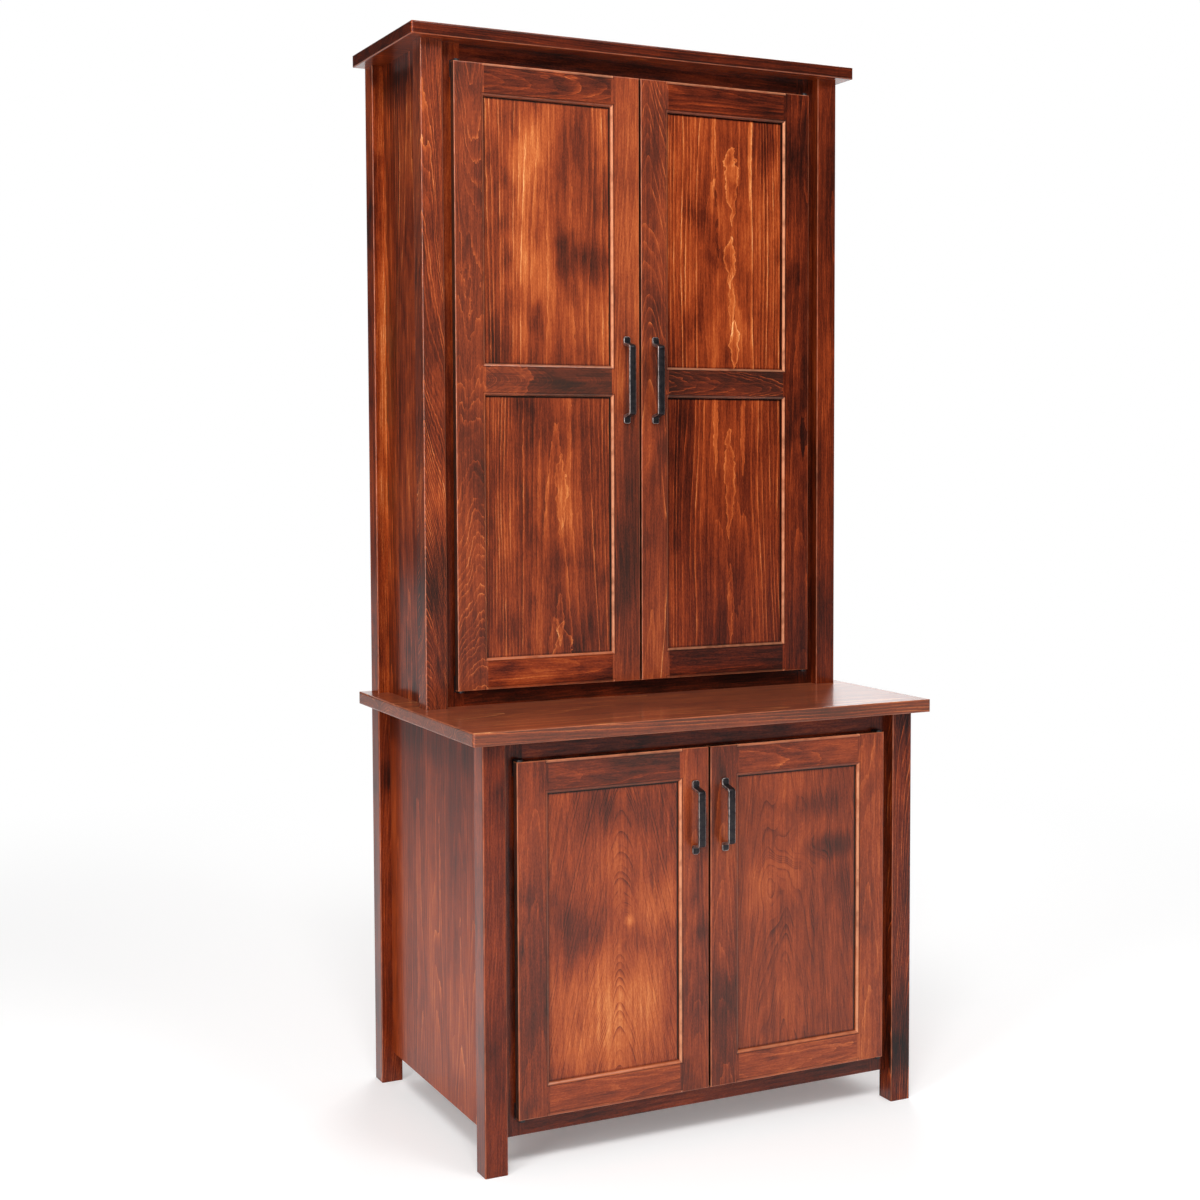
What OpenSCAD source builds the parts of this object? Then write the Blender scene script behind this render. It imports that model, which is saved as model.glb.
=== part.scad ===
// Printer cabinet with a hutch, in stained hardwood.
// The base stands on four posts and has a pair of overlay doors. The hutch is as wide but
// shallower, stands at the back of the base top and has its own pair of taller doors.
// Millimetres. X runs to the right, Y to the back and Z up. The origin is on the floor,
// under the middle of the cabinet's whole outline, pulls included.

/* [Base cabinet] */
// Width over the outer faces of the posts
body_w = 864; // [760:1:1000]
// Depth of the base over its posts
base_depth = 590; // [500:1:700]
// Height of the base from the floor to the underside of its top
base_h = 743; // [650:1:850]
// Thickness of the base top
base_top_t = 24; // [20:0.5:32]
// Overhang of the base top at the front and the sides
base_overhang = 26; // [15:1:40]
// Height of the open space under the base's rails and side panels
foot_h = 58; // [40:1:90]
// Strip of rail that shows below the base doors
base_door_lower_reveal = 32; // [20:1:45]
// Strip of rail that shows above the base doors
base_door_upper_reveal = 35; // [20:1:50]
// Height of the base shelf's underside over the base floor board
base_shelf_rise = 290; // [220:1:360]
// Radius of the cord hole in the base back
cord_hole_r = 30; // [20:1:40]
// Distance of the cord hole's centre below the base top
cord_hole_drop = 120; // [80:1:160]

/* [Hutch] */
// Depth of the hutch over its posts
hutch_depth = 315; // [260:1:380]
// Height of the hutch from the base top to the underside of its own top
hutch_h = 1196; // [1050:1:1300]
// Thickness of the hutch top
hutch_top_t = 23; // [20:0.5:32]
// Overhang of the hutch top at the front and the sides
hutch_overhang = 25; // [15:1:40]
// Strip of rail that shows below the hutch doors
hutch_door_lower_reveal = 30; // [20:1:45]
// Strip of rail that shows above the hutch doors
hutch_door_upper_reveal = 34; // [20:1:50]
// Height from one hutch shelf to the next
hutch_shelf_pitch = 283; // [240:1:300]

/* [Posts, panels and boards] */
// Thickness of the square posts, both ways
post_w = 42; // [38:1:50]
// Rounding of the posts' long edges
post_round = 3; // [1:0.5:5]
// Rounding of the long edges of both tops
top_round = 3; // [1:0.5:6]
// Rounding of the tops' corners, seen from above
top_corner = 6; // [3:0.5:10]
// Set-back of the side panels from the outer faces of the posts
side_recess = 23; // [19:1:25]
// Thickness of the side panels
side_t = 19; // [17:0.5:19]
// Thickness of the back panels
back_t = 6; // [5:0.5:9]
// Set-back of the back panels from the rear faces of the posts
back_inset = 8; // [5:0.5:14]
// Thickness of the floor boards and shelves
board_t = 18; // [15:0.5:22]
// Thickness of the side panels' tongues
tongue_t = 8; // [5:0.5:10]
// Length of the tongues of side panels and back panels in the posts
tongue_l = 8; // [5:0.5:11]
// Depth of the housings in the side panels that hold the floor boards
housing_d = 6; // [4:0.5:8]
// Side of the square cleats inside the cabinets
cleat_w = 22; // [18:1:26]

/* [Face frames] */
// Set-back of the face frames from the front of the posts
frame_recess = 20; // [20:0.5:24]
// Thickness of the face frames
frame_t = 20; // [18:0.5:24]
// How far the doors lap over the face frames, all round
frame_lap = 18; // [17:0.5:22]
// Thickness of the rails' tenons
tenon_t = 8; // [6:0.5:10]
// Length of the rails' tenons
tenon_l = 20; // [12:1:25]

/* [Doors] */
// Thickness of the doors, whose faces are flush with the posts
door_t = 18.5; // [17:0.5:18.5]
// Space between a post and the edge of the door beside it
door_post_gap = 20; // [17:1:24]
// Space between the two doors of a pair
door_meet_gap = 4; // [3:0.5:6]
// Width of the door stiles and rails
member_w = 58; // [50:1:70]
// Width of the moulded bead along the inner edges of a door's members
bead_w = 5.5; // [3:0.5:8]
// Depth of the panels behind the doors' faces
panel_recess = 7.5; // [6:0.5:8]
// Thickness of the door panels
panel_t = 6; // [4:0.5:6.5]
// Depth of the grooves that hold the door panels
groove_d = 8; // [6:0.5:10]
// Rounding of the doors' outer edges
door_round = 2; // [1:0.5:3]

/* [Pulls] */
// Length of a base door's pull
base_pull_l = 132; // [110:1:150]
// Length of a hutch door's pull
hutch_pull_l = 163; // [130:1:190]
// Width of the pulls' strap
pull_w = 13.5; // [10:0.5:15]
// Thickness of the pulls' strap
pull_t = 5; // [4:0.25:6]
// Distance from the door's face to the front of the pull
pull_out = 29; // [24:0.5:34]
// Length of the flat feet on the door
pull_foot_l = 10.5; // [9:0.5:14]
// Slope of the pulls' legs against the door
pull_leg_angle = 78; // [60:1:84]
// Distance from the door's free edge to the middle of its pull
pull_edge = 28; // [24:0.5:31]
// Distance from the top of a base door to the middle of its pull
base_pull_drop = 124; // [100:1:150]
// Height of the middle of a hutch door's pull over the middle of its door
hutch_pull_rise = 3; // [0:1:20]

/* [Pivot hinges and fittings] */
// Distance of the pivots from the doors' hinge edges
pivot_in = 7.5; // [6.5:0.25:7.5]
// Distance of the pivots behind the doors' faces
pivot_back = 6; // [5.5:0.25:6.5]
// Radius of the pivot pins
pivot_r = 2.5; // [2:0.25:2.75]
// Length of the pivot pins in the doors
pivot_l = 11; // [8:0.5:14]
// Thickness of the pivot brackets
bracket_t = 2.5; // [2:0.25:3]
// Height of a bracket's leg, which is let into the face frame
bracket_leg = 30; // [26:1:36]
// Radius of the shelf pins
shelf_pin_r = 2.5; // [2:0.25:3]
// Length of a shelf pin in its hole
shelf_pin_in = 10; // [7:0.5:13]
// Length of a shelf pin under its shelf
shelf_pin_out = 8; // [6:0.5:12]
// Spacing of the shelf pin holes
pin_hole_pitch = 32; // [25:1:40]
// Holes for each shelf pin, so that the shelf can be moved
pin_hole_count = 5; // [1:2:5]

/* [Hidden] */

// Colours of the stained wood, the boards inside, the pulls and the steel fittings
wood_colour = "#6e2f1b";
panel_colour = "#5c2516";
inner_colour = "#8a5a3a";
pull_colour = "#2b2c2e";
steel_colour = "#9a9c9f";

left = -1;
right = 1;
arc_steps = 6;
round_fn = 48;

// Clearances
wood_fit = 0.15;
groove_end_gap = 1.5;
tenon_end_gap = 1;
shelf_side_gap = 0.8;
shelf_front_gap = 4;
shelf_back_gap = 3;
run_fit = 0.05;
catch_gap = 0.3;

// Outline and levels
half_w = body_w / 2;
inner_half = half_w - post_w;
post_mid_x = half_w - post_w / 2;
pull_reach = max(pull_out, base_overhang);
y_mid = (base_depth - pull_reach) / 2;
frame_back = frame_recess + frame_t;
frame_opening_half = inner_half - door_post_gap - frame_lap;
side_outer = half_w - side_recess;
side_inner = side_outer - side_t;
hutch_y = base_depth - hutch_depth;
hutch_z = base_h + base_top_t;
hutch_top_z = hutch_z + hutch_h;
base_floor_top = foot_h + base_door_lower_reveal + frame_lap;
hutch_floor_top = hutch_z + hutch_door_lower_reveal + frame_lap;
base_rail_top_z = base_h - base_door_upper_reveal - frame_lap;
hutch_rail_top_z = hutch_top_z - hutch_door_upper_reveal - frame_lap;
base_back_y = base_depth - back_inset - back_t;
hutch_back_y = hutch_depth - back_inset - back_t;

// Doors, described for the left door of a pair and mirrored for the right one
door_x0 = -(inner_half - door_post_gap);
door_x1 = -door_meet_gap / 2;
base_door_z0 = foot_h + base_door_lower_reveal;
base_door_z1 = base_h - base_door_upper_reveal;
hutch_door_z0 = hutch_z + hutch_door_lower_reveal;
hutch_door_z1 = hutch_top_z - hutch_door_upper_reveal;
hutch_door_mid = (hutch_door_z0 + hutch_door_z1) / 2;
door_back_bevel = 3;
bead_step = 0.8;
bead_floor = 1.5;
base_spans = [[base_door_z0 + member_w, base_door_z1 - member_w]];
hutch_spans = [[hutch_door_z0 + member_w, hutch_door_mid - member_w / 2],
               [hutch_door_mid + member_w / 2, hutch_door_z1 - member_w]];
open_x0 = door_x0 + member_w;
open_x1 = door_x1 - member_w;
pull_x = door_x1 - pull_edge;
base_pull_z = base_door_z1 - base_pull_drop;
hutch_pull_z = hutch_door_mid + hutch_pull_rise;
pull_bend_r = 3.75;
pull_foot_round = 4;

// Shelves and their pins
base_shelf_z = base_floor_top + base_shelf_rise;
hutch_shelf_z = [for (i = [-1:1]) hutch_door_mid - board_t / 2 + i * hutch_shelf_pitch];
pin_front_y = frame_back + 40;
pin_inset_back = post_w + 38;

// Pivots, bushings and brackets
pivot_x = door_x0 + pivot_in;
pivot_gap = 1;
washer_t = 0.7;
washer_r = pivot_r + 2.7;
bushing_r = pivot_r + 1.5;
bushing_l = pivot_l + 1;
tab_r = 5.5;
bracket_half = 8;
bracket_screw_steps = [10, 21];

// Screws
screw_r = 1.75;
screw_head_r = 3.2;
screw_head_t = 1.4;
bracket_screw_l = 15;
cleat_screw_bite = 12;
mount_screw_r = 2.5;
mount_screw_head_r = 4.5;
mount_screw_head_t = 2;
mount_screw_bite = 14;
cleat_screw_x = [for (s = [-1, 1], part = [0.3, 0.85]) s * part * inner_half];
mount_screw_end = 45;
pull_screw_r = 2;
pull_screw_head_r = 4.2;
pull_screw_head_t = 2.4;
pull_screw_bite = 3;

// Magnetic catches under the upper rails and their plates on the doors
catch_half = 36;
catch_h = 13;
catch_depth = 18;
strike_w = 22;
strike_h = 11;
strike_t = frame_recess - door_t;
strike_edge = 10;

// Moves a piece from the cabinet's own place, front of the posts at zero, to the origin
module place() {
    translate([0, -y_mid, 0]) children();
}

module on_hutch() {
    translate([0, hutch_y, 0]) children();
}

// Mirrors a left piece for the right side
module on_side(side) {
    if (side == left) children();
    else mirror([1, 0, 0]) children();
}

module block(x0, x1, y0, y1, z0, z1) {
    translate([x0, y0, z0]) cube([x1 - x0, y1 - y0, z1 - z0]);
}

function arc(centre, r, a0, a1, steps = arc_steps) =
    [for (i = [0:steps]) let (a = a0 + (a1 - a0) * i / steps) centre + r * [cos(a), sin(a)]];

// Outline of a rectangle with rounded corners
module rounded_rect(x0, x1, y0, y1, r) {
    polygon(concat(arc([x1 - r, y0 + r], r, -90, 0), arc([x1 - r, y1 - r], r, 0, 90),
                   arc([x0 + r, y1 - r], r, 90, 180), arc([x0 + r, y0 + r], r, 180, 270)));
}

// Extrudes an outline drawn in X and Z from y0 to y1
module along_y(y0, y1) {
    translate([0, y1, 0]) rotate([90, 0, 0]) linear_extrude(y1 - y0) children();
}

// Extrudes an outline drawn in Y and Z from x0 to x1
module along_x(x0, x1) {
    translate([x0, 0, 0]) rotate([90, 0, 90]) linear_extrude(x1 - x0) children();
}

// Extrudes an outline drawn in X and Y from z0 to z1
module along_z(z0, z1) {
    translate([0, 0, z0]) linear_extrude(z1 - z0) children();
}

module rod(x, y, z0, z1, r) {
    translate([x, y, z0]) cylinder(h = z1 - z0, r = r, $fn = round_fn);
}

module rod_y(x, y0, y1, z, r) {
    translate([x, y1, z]) rotate([90, 0, 0]) cylinder(h = y1 - y0, r = r, $fn = round_fn);
}

module rod_x(x0, x1, y, z, r) {
    translate([x0, y, z]) rotate([0, 90, 0]) cylinder(h = x1 - x0, r = r, $fn = round_fn);
}

// A top board with rounded corners and eased edges
module top_board(overhang, depth, z0, thick) {
    x = half_w + overhang;
    intersection() {
        along_z(z0, z0 + thick) rounded_rect(-x, x, -overhang, depth, top_corner);
        along_y(-overhang, depth) rounded_rect(-x, x, z0, z0 + thick, top_round);
        along_x(-x, x) rounded_rect(-overhang, depth, z0, z0 + thick, top_round);
    }
}

// A left post. The side panel's tongue enters its inner end face, which is behind a front
// post and before a rear one, and the back panel enters a groove in a rear post.
module post(rear, depth, z0, z1, panel_z0) {
    y0 = rear ? depth - post_w : 0;
    slot_y0 = rear ? y0 - 1 : y0 + post_w - tongue_l - wood_fit;
    slot_y1 = rear ? y0 + tongue_l + wood_fit : y0 + post_w + 1;
    tongue_x = -(side_outer - side_t / 2);
    back_y = depth - back_inset - back_t;
    difference() {
        along_z(z0, z1) rounded_rect(-half_w, -inner_half, y0, y0 + post_w, post_round);
        block(tongue_x - tongue_t / 2 - wood_fit, tongue_x + tongue_t / 2 + wood_fit,
              slot_y0, slot_y1, panel_z0, z1 + 1);
        if (rear)
            block(-inner_half - tongue_l - wood_fit, -inner_half + 1,
                  back_y - wood_fit, back_y + back_t + wood_fit, panel_z0, z1 + 1);
    }
}

// A left side panel with its tongues, its housing for the floor board and its pin holes
module side_panel(depth, z0, z1, floor_top, shelf_zs) {
    tongue_x = -(side_outer - side_t / 2);
    difference() {
        union() {
            block(-side_outer, -side_inner, post_w, depth - post_w, z0, z1);
            block(tongue_x - tongue_t / 2, tongue_x + tongue_t / 2,
                  post_w - tongue_l, depth - post_w + tongue_l, z0, z1);
        }
        block(-side_inner - housing_d - wood_fit, -side_inner + 1, post_w + housing_d - wood_fit,
              depth - post_w - housing_d + wood_fit, floor_top - board_t - wood_fit,
              floor_top + wood_fit);
        for (z = shelf_zs, y = [pin_front_y, depth - pin_inset_back],
             i = [-(pin_hole_count - 1) / 2:(pin_hole_count - 1) / 2])
            rod_x(-side_inner - shelf_pin_in, -side_inner + 1, y,
                  z - shelf_pin_r + i * pin_hole_pitch, shelf_pin_r + run_fit);
    }
}

module back_panel(depth, z0, z1) {
    y = depth - back_inset - back_t;
    block(-inner_half - tongue_l, inner_half + tongue_l, y, y + back_t, z0, z1);
}

// A floor board whose side edges enter the housings of the side panels
module floor_board(depth, back_y, floor_top) {
    block(-inner_half, inner_half, frame_back, back_y, floor_top - board_t, floor_top);
    for (s = [left, right])
        block(min(s * side_inner, s * (side_inner + housing_d)) - (s == left ? 0 : 1),
              max(s * side_inner, s * (side_inner + housing_d)) + (s == left ? 1 : 0),
              post_w + housing_d, depth - post_w - housing_d, floor_top - board_t, floor_top);
}

module shelf(back_y, z) {
    block(-side_inner + shelf_side_gap, side_inner - shelf_side_gap,
          frame_back + shelf_front_gap, back_y - shelf_back_gap, z, z + board_t);
}

// Four pins under one shelf, each in a hole of a side panel
module pins_under(depth, z) {
    for (s = [left, right], y = [pin_front_y, depth - pin_inset_back])
        on_side(s) rod_x(-side_inner - shelf_pin_in, -side_inner + shelf_pin_out, y,
                         z - shelf_pin_r, shelf_pin_r);
}

// A left face frame stile with its mortises, bracket recesses and screw holes
module frame_stile(z0, z1, lower_rail_top, upper_rail_z, door_z0, door_z1) {
    difference() {
        block(-inner_half, -frame_opening_half, frame_recess, frame_back, z0, z1);
        tenon(z0, lower_rail_top, tenon_end_gap, wood_fit);
        tenon(upper_rail_z, z1, tenon_end_gap, wood_fit);
        bracket_leg_at(door_z0, -1, wood_fit);
        bracket_leg_at(door_z1, 1, wood_fit);
        bracket_screws_at(door_z0, -1, run_fit);
        bracket_screws_at(door_z1, 1, run_fit);
    }
}

// The left tenon of a face frame rail, grown by a gap at its end and a fit all round
module tenon(z0, z1, end_gap = 0, fit = 0) {
    shoulder = (z1 - z0) / 5;
    y = frame_recess + frame_t / 2;
    block(-frame_opening_half - tenon_l - end_gap, -frame_opening_half + 1,
          y - tenon_t / 2 - fit, y + tenon_t / 2 + fit,
          z0 + shoulder - fit, z1 - shoulder + fit);
}

// A face frame rail, whose tenons are bored for the screws of the brackets at the door end
module frame_rail(z0, z1, door_z, end) {
    difference() {
        union() {
            block(-frame_opening_half, frame_opening_half, frame_recess, frame_back, z0, z1);
            for (s = [left, right])
                on_side(s) tenon(z0, z1);
        }
        for (s = [left, right])
            on_side(s) bracket_screws_at(door_z, end, run_fit);
    }
}

// Front and rear cleats under a top, bored for the screws that hold the top down
module top_cleats(back_y, z1) {
    for (y = [frame_back, back_y - cleat_w])
        difference() {
            block(-inner_half, inner_half, y, y + cleat_w, z1 - cleat_w, z1);
            for (x = cleat_screw_x)
                cleat_screw(x, y + cleat_w / 2, z1, run_fit);
        }
}

// A screw up through a cleat, its head let into the cleat's underside
module cleat_screw(x, y, z, fit = 0) {
    head_z = z - cleat_w;
    rod(x, y, head_z - (fit > 0 ? 1 : 0), head_z + screw_head_t + fit, screw_head_r + fit);
    rod(x, y, head_z, z + cleat_screw_bite + fit, screw_r + fit);
}

module top_cleat_screws(back_y, z, fit = 0) {
    for (y = [frame_back + cleat_w / 2, back_y - cleat_w / 2], x = cleat_screw_x)
        cleat_screw(x, y, z, fit);
}

// The four long screws through the hutch floor and its cleats into the base top
module mounting_screws(fit = 0) {
    for (s = [left, right], y = [frame_back + mount_screw_end, hutch_back_y - mount_screw_end])
        translate([s * (inner_half - cleat_w / 2), y, 0]) {
            rod(0, 0, hutch_floor_top - mount_screw_head_t - fit,
                hutch_floor_top + (fit > 0 ? 1 : 0), mount_screw_head_r + fit);
            rod(0, 0, hutch_z - mount_screw_bite - fit,
                hutch_floor_top - mount_screw_head_t, mount_screw_r + fit);
        }
}

// A left pivot bracket's leg, on the face frame behind the door. The bracket's tab lies
// past the end of the door, on the side that end gives: 1 above its top, -1 below it.
module bracket_leg_at(door_z, end, fit = 0) {
    tip = door_z + end * (pivot_gap + bracket_t + fit);
    foot = door_z + end * (pivot_gap + bracket_t - bracket_leg - fit);
    block(pivot_x - bracket_half - fit, pivot_x + bracket_half + fit,
          frame_recess - (fit > 0 ? 1 : 0), frame_recess + bracket_t + fit,
          min(tip, foot), max(tip, foot));
}

module bracket_screws_at(door_z, end, fit = 0) {
    for (step = bracket_screw_steps) {
        z = door_z + end * (pivot_gap + bracket_t - step);
        rod_y(pivot_x, frame_recess - (fit > 0 ? 1 : 0), frame_recess + screw_head_t + fit,
              z, screw_head_r + fit);
        rod_y(pivot_x, frame_recess + screw_head_t, frame_recess + bracket_screw_l + fit,
              z, screw_r + fit);
    }
}

// An angle bracket with its pivot pin
module pivot_bracket(door_z, end) {
    near = door_z + end * pivot_gap;
    far = near + end * bracket_t;
    tip = door_z - end * pivot_l;
    difference() {
        bracket_leg_at(door_z, end);
        bracket_screws_at(door_z, end, run_fit);
    }
    along_z(min(near, far), max(near, far)) {
        translate([pivot_x, pivot_back]) circle(r = tab_r, $fn = round_fn);
        translate([pivot_x - tab_r, pivot_back])
            square([2 * tab_r, frame_recess + bracket_t - pivot_back]);
    }
    rod(pivot_x, pivot_back, min(tip, far), max(tip, far), pivot_r);
}

// A double magnetic catch under the middle of an upper rail
module magnetic_catch(rail_z) {
    y = frame_recess + catch_gap;
    block(-catch_half, catch_half, y, y + catch_depth, rail_z - catch_h, rail_z);
}

// The whole outline of a left door, with eased front edges and a bevel at the back of
// the hinge edge that clears the face frame as the door swings
module door_outline(z0, z1) {
    r = door_round;
    intersection() {
        along_z(z0, z1)
            polygon(concat(arc([door_x0 + r, r], r, 180, 270), arc([door_x1 - r, r], r, 270, 360),
                           [[door_x1, door_t], [door_x0 + door_back_bevel, door_t],
                            [door_x0, door_t - door_back_bevel]]));
        along_x(door_x0, door_x1)
            polygon(concat(arc([r, z1 - r], r, 90, 180), arc([r, z0 + r], r, 180, 270),
                           [[door_t, z0], [door_t, z1]]));
    }
}

// One edge of the cutter that forms the bead. From the door's face it drops a small step,
// rounds over to the edge of the opening and goes straight to the back.
function bead_edge(a, sign) =
    let (bead_h = panel_recess - bead_floor - bead_step)
    concat([[a + sign * bead_w, -1]],
           [for (p = arc([0, 0], 1, 90, 0))
                [a + sign * bead_w * (1 - p[0]), bead_step + bead_h * (1 - p[1])]],
           [[a, door_t + 1]]);

function reversed(list) = [for (i = [len(list) - 1:-1:0]) list[i]];

// Cuts one opening with its bead, mitred at the corners, through the door's members
module opening_cutter(span) {
    intersection() {
        along_z(span[0] - 2 * bead_w, span[1] + 2 * bead_w)
            polygon(concat(bead_edge(open_x0, -1), reversed(bead_edge(open_x1, 1))));
        along_x(open_x0 - 2 * bead_w, open_x1 + 2 * bead_w)
            polygon([for (p = concat(bead_edge(span[0], -1), reversed(bead_edge(span[1], 1))))
                     [p[1], p[0]]]);
    }
}

// The groove round one opening that holds its panel and the rails' tongues
module panel_groove(x0, x1, z0, z1) {
    block(x0, x1, panel_recess - wood_fit, panel_recess + panel_t + wood_fit, z0, z1);
}

module door_stiles(z0, z1, spans) {
    difference() {
        intersection() {
            union() {
                block(door_x0, open_x0, 0, door_t, z0, z1);
                block(open_x1, door_x1, 0, door_t, z0, z1);
            }
            door_outline(z0, z1);
        }
        for (span = spans)
            opening_cutter(span);
        panel_groove(open_x0 - groove_d, open_x1 + groove_d, z0 - 1, z1 + 1);
        for (end = [[z0, 1], [z1, -1]])
            rod(pivot_x, pivot_back, min(end[0] - end[1], end[0] + end[1] * (bushing_l + 1)),
                max(end[0] - end[1], end[0] + end[1] * (bushing_l + 1)), bushing_r + run_fit);
    }
}

module door_rails(z0, z1, spans) {
    lows = concat([z0], [for (span = spans) span[1]]);
    highs = concat([for (span = spans) span[0]], [z1]);
    for (i = [0:len(lows) - 1])
        difference() {
            union() {
                intersection() {
                    block(open_x0, open_x1, 0, door_t, lows[i], highs[i]);
                    door_outline(z0, z1);
                }
                block(open_x0 - groove_d + tenon_end_gap, open_x1 + groove_d - tenon_end_gap,
                      panel_recess, panel_recess + panel_t, lows[i], highs[i]);
            }
            for (span = spans) {
                opening_cutter(span);
                panel_groove(open_x0 - groove_d, open_x1 + groove_d,
                             span[0] - groove_d, span[1] + groove_d);
            }
        }
}

module door_panels(spans) {
    reach = groove_d - groove_end_gap;
    for (span = spans)
        block(open_x0 - reach, open_x1 + reach, panel_recess, panel_recess + panel_t,
              span[0] - reach, span[1] + reach);
}

// The pull's side outline, as distance from the door and height, from its lower end up
function pull_half(back_r, front_r, start) =
    let (c1 = [pull_t / 2 + pull_bend_r, pull_foot_l],
         run = (pull_out - pull_t - 2 * pull_bend_r * (1 - cos(pull_leg_angle)))
               / sin(pull_leg_angle),
         bend_end = c1 + pull_bend_r * [-cos(pull_leg_angle), sin(pull_leg_angle)],
         leg_end = bend_end + run * [sin(pull_leg_angle), cos(pull_leg_angle)],
         c2 = leg_end + pull_bend_r * [-cos(pull_leg_angle), sin(pull_leg_angle)])
    concat([[start, 0]], arc(c1, back_r, 180, 180 - pull_leg_angle),
           arc(c2, front_r, -pull_leg_angle, 0));

function pull_line(half, length) =
    concat(half, [for (p = reversed(half)) [p[0], length - p[1]]]);

module pull_strap(length, z_mid) {
    thin = pull_bend_r - pull_t / 2;
    wide = pull_bend_r + pull_t / 2;
    door_side = pull_line(pull_half(wide, thin, 0), length);
    room_side = pull_line(pull_half(thin, wide, pull_t), length);
    z0 = z_mid - length / 2;
    difference() {
        intersection() {
            translate([0, 0, z0]) along_x(pull_x - pull_w / 2, pull_x + pull_w / 2)
                polygon([for (p = concat(door_side, reversed(room_side))) [-p[0], p[1]]]);
            along_y(-pull_out - 1, 1)
                rounded_rect(pull_x - pull_w / 2, pull_x + pull_w / 2, z0, z0 + length,
                             pull_foot_round);
        }
        for (z = pull_screw_zs(length, z_mid))
            rod_y(pull_x, -pull_screw_bite - run_fit, 1, z, pull_screw_r + run_fit);
    }
}

function pull_screw_zs(length, z_mid) =
    [for (s = [-1, 1]) z_mid + s * (length - pull_foot_l) / 2];

module pull_screws(length, z_mid, fit = 0) {
    for (z = pull_screw_zs(length, z_mid)) {
        rod_y(pull_x, -pull_screw_bite, door_t + fit, z, pull_screw_r + fit);
        if (fit == 0)
            rod_y(pull_x, door_t, door_t + pull_screw_head_t, z, pull_screw_head_r);
    }
}

// Stiles of one door with the holes for its pull
module bored_stiles(z0, z1, spans, pull_l, pull_z) {
    difference() {
        door_stiles(z0, z1, spans);
        pull_screws(pull_l, pull_z, run_fit);
    }
}

// The bushings in both ends of the hinge stile, and the plate that meets the catch
module door_fittings(z0, z1, rail_z) {
    for (end = [[z0, 1], [z1, -1]])
        difference() {
            union() {
                rod(pivot_x, pivot_back, min(end[0], end[0] + end[1] * bushing_l),
                    max(end[0], end[0] + end[1] * bushing_l), bushing_r);
                rod(pivot_x, pivot_back, min(end[0], end[0] - end[1] * washer_t),
                    max(end[0], end[0] - end[1] * washer_t), washer_r);
            }
            rod(pivot_x, pivot_back, min(end[0] - end[1] * 2, end[0] + end[1] * (bushing_l + 1)),
                max(end[0] - end[1] * 2, end[0] + end[1] * (bushing_l + 1)),
                pivot_r + run_fit);
        }
    block(door_x1 - strike_edge - strike_w, door_x1 - strike_edge, door_t, door_t + strike_t,
          rail_z - catch_h / 2 - strike_h / 2, rail_z - catch_h / 2 + strike_h / 2);
}

// Base cabinet
module base_top() {
    color(wood_colour) place() difference() {
        top_board(base_overhang, base_depth, base_h, base_top_t);
        top_cleat_screws(base_back_y, base_h, run_fit);
        on_hutch() mounting_screws(run_fit);
    }
}

module base_post(side, rear) {
    color(wood_colour) place() on_side(side) post(rear, base_depth, 0, base_h, foot_h);
}

module base_side(side) {
    color(wood_colour) place() on_side(side)
        side_panel(base_depth, foot_h, base_h, base_floor_top, [base_shelf_z]);
}

module base_back() {
    color(inner_colour) place() difference() {
        back_panel(base_depth, foot_h, base_h);
        rod_y(0, base_back_y - 1, base_depth, base_h - cord_hole_drop, cord_hole_r);
    }
}

module base_floor() {
    color(inner_colour) place() floor_board(base_depth, base_back_y, base_floor_top);
}

module base_shelf() {
    color(inner_colour) place() shelf(base_back_y, base_shelf_z);
}

module base_frame_stile(side) {
    color(wood_colour) place() on_side(side)
        frame_stile(foot_h, base_h, base_floor_top, base_rail_top_z, base_door_z0, base_door_z1);
}

module base_frame_rail_top() {
    color(wood_colour) place()
        frame_rail(base_rail_top_z, base_h, base_door_z1, 1);
}

module base_frame_rail_bottom() {
    color(wood_colour) place()
        frame_rail(foot_h, base_floor_top, base_door_z0, -1);
}

module base_cleats() {
    color(inner_colour) place() top_cleats(base_back_y, base_h);
}

// Hutch
module hutch_top() {
    color(wood_colour) place() on_hutch() difference() {
        top_board(hutch_overhang, hutch_depth, hutch_top_z, hutch_top_t);
        top_cleat_screws(hutch_back_y, hutch_top_z, run_fit);
    }
}

module hutch_post(side, rear) {
    color(wood_colour) place() on_hutch() on_side(side)
        post(rear, hutch_depth, hutch_z, hutch_top_z, hutch_z);
}

module hutch_side(side) {
    color(wood_colour) place() on_hutch() on_side(side)
        side_panel(hutch_depth, hutch_z, hutch_top_z, hutch_floor_top, hutch_shelf_z);
}

module hutch_back() {
    color(inner_colour) place() on_hutch() back_panel(hutch_depth, hutch_z, hutch_top_z);
}

module hutch_floor() {
    color(inner_colour) place() on_hutch() difference() {
        floor_board(hutch_depth, hutch_back_y, hutch_floor_top);
        mounting_screws(run_fit);
    }
}

module hutch_shelf(i) {
    color(inner_colour) place() on_hutch() shelf(hutch_back_y, hutch_shelf_z[i]);
}

module hutch_frame_stile(side) {
    color(wood_colour) place() on_hutch() on_side(side)
        frame_stile(hutch_z, hutch_top_z, hutch_floor_top, hutch_rail_top_z,
                    hutch_door_z0, hutch_door_z1);
}

module hutch_frame_rail_top() {
    color(wood_colour) place() on_hutch()
        frame_rail(hutch_rail_top_z, hutch_top_z, hutch_door_z1, 1);
}

module hutch_frame_rail_bottom() {
    color(wood_colour) place() on_hutch()
        frame_rail(hutch_z, hutch_floor_top, hutch_door_z0, -1);
}

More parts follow.
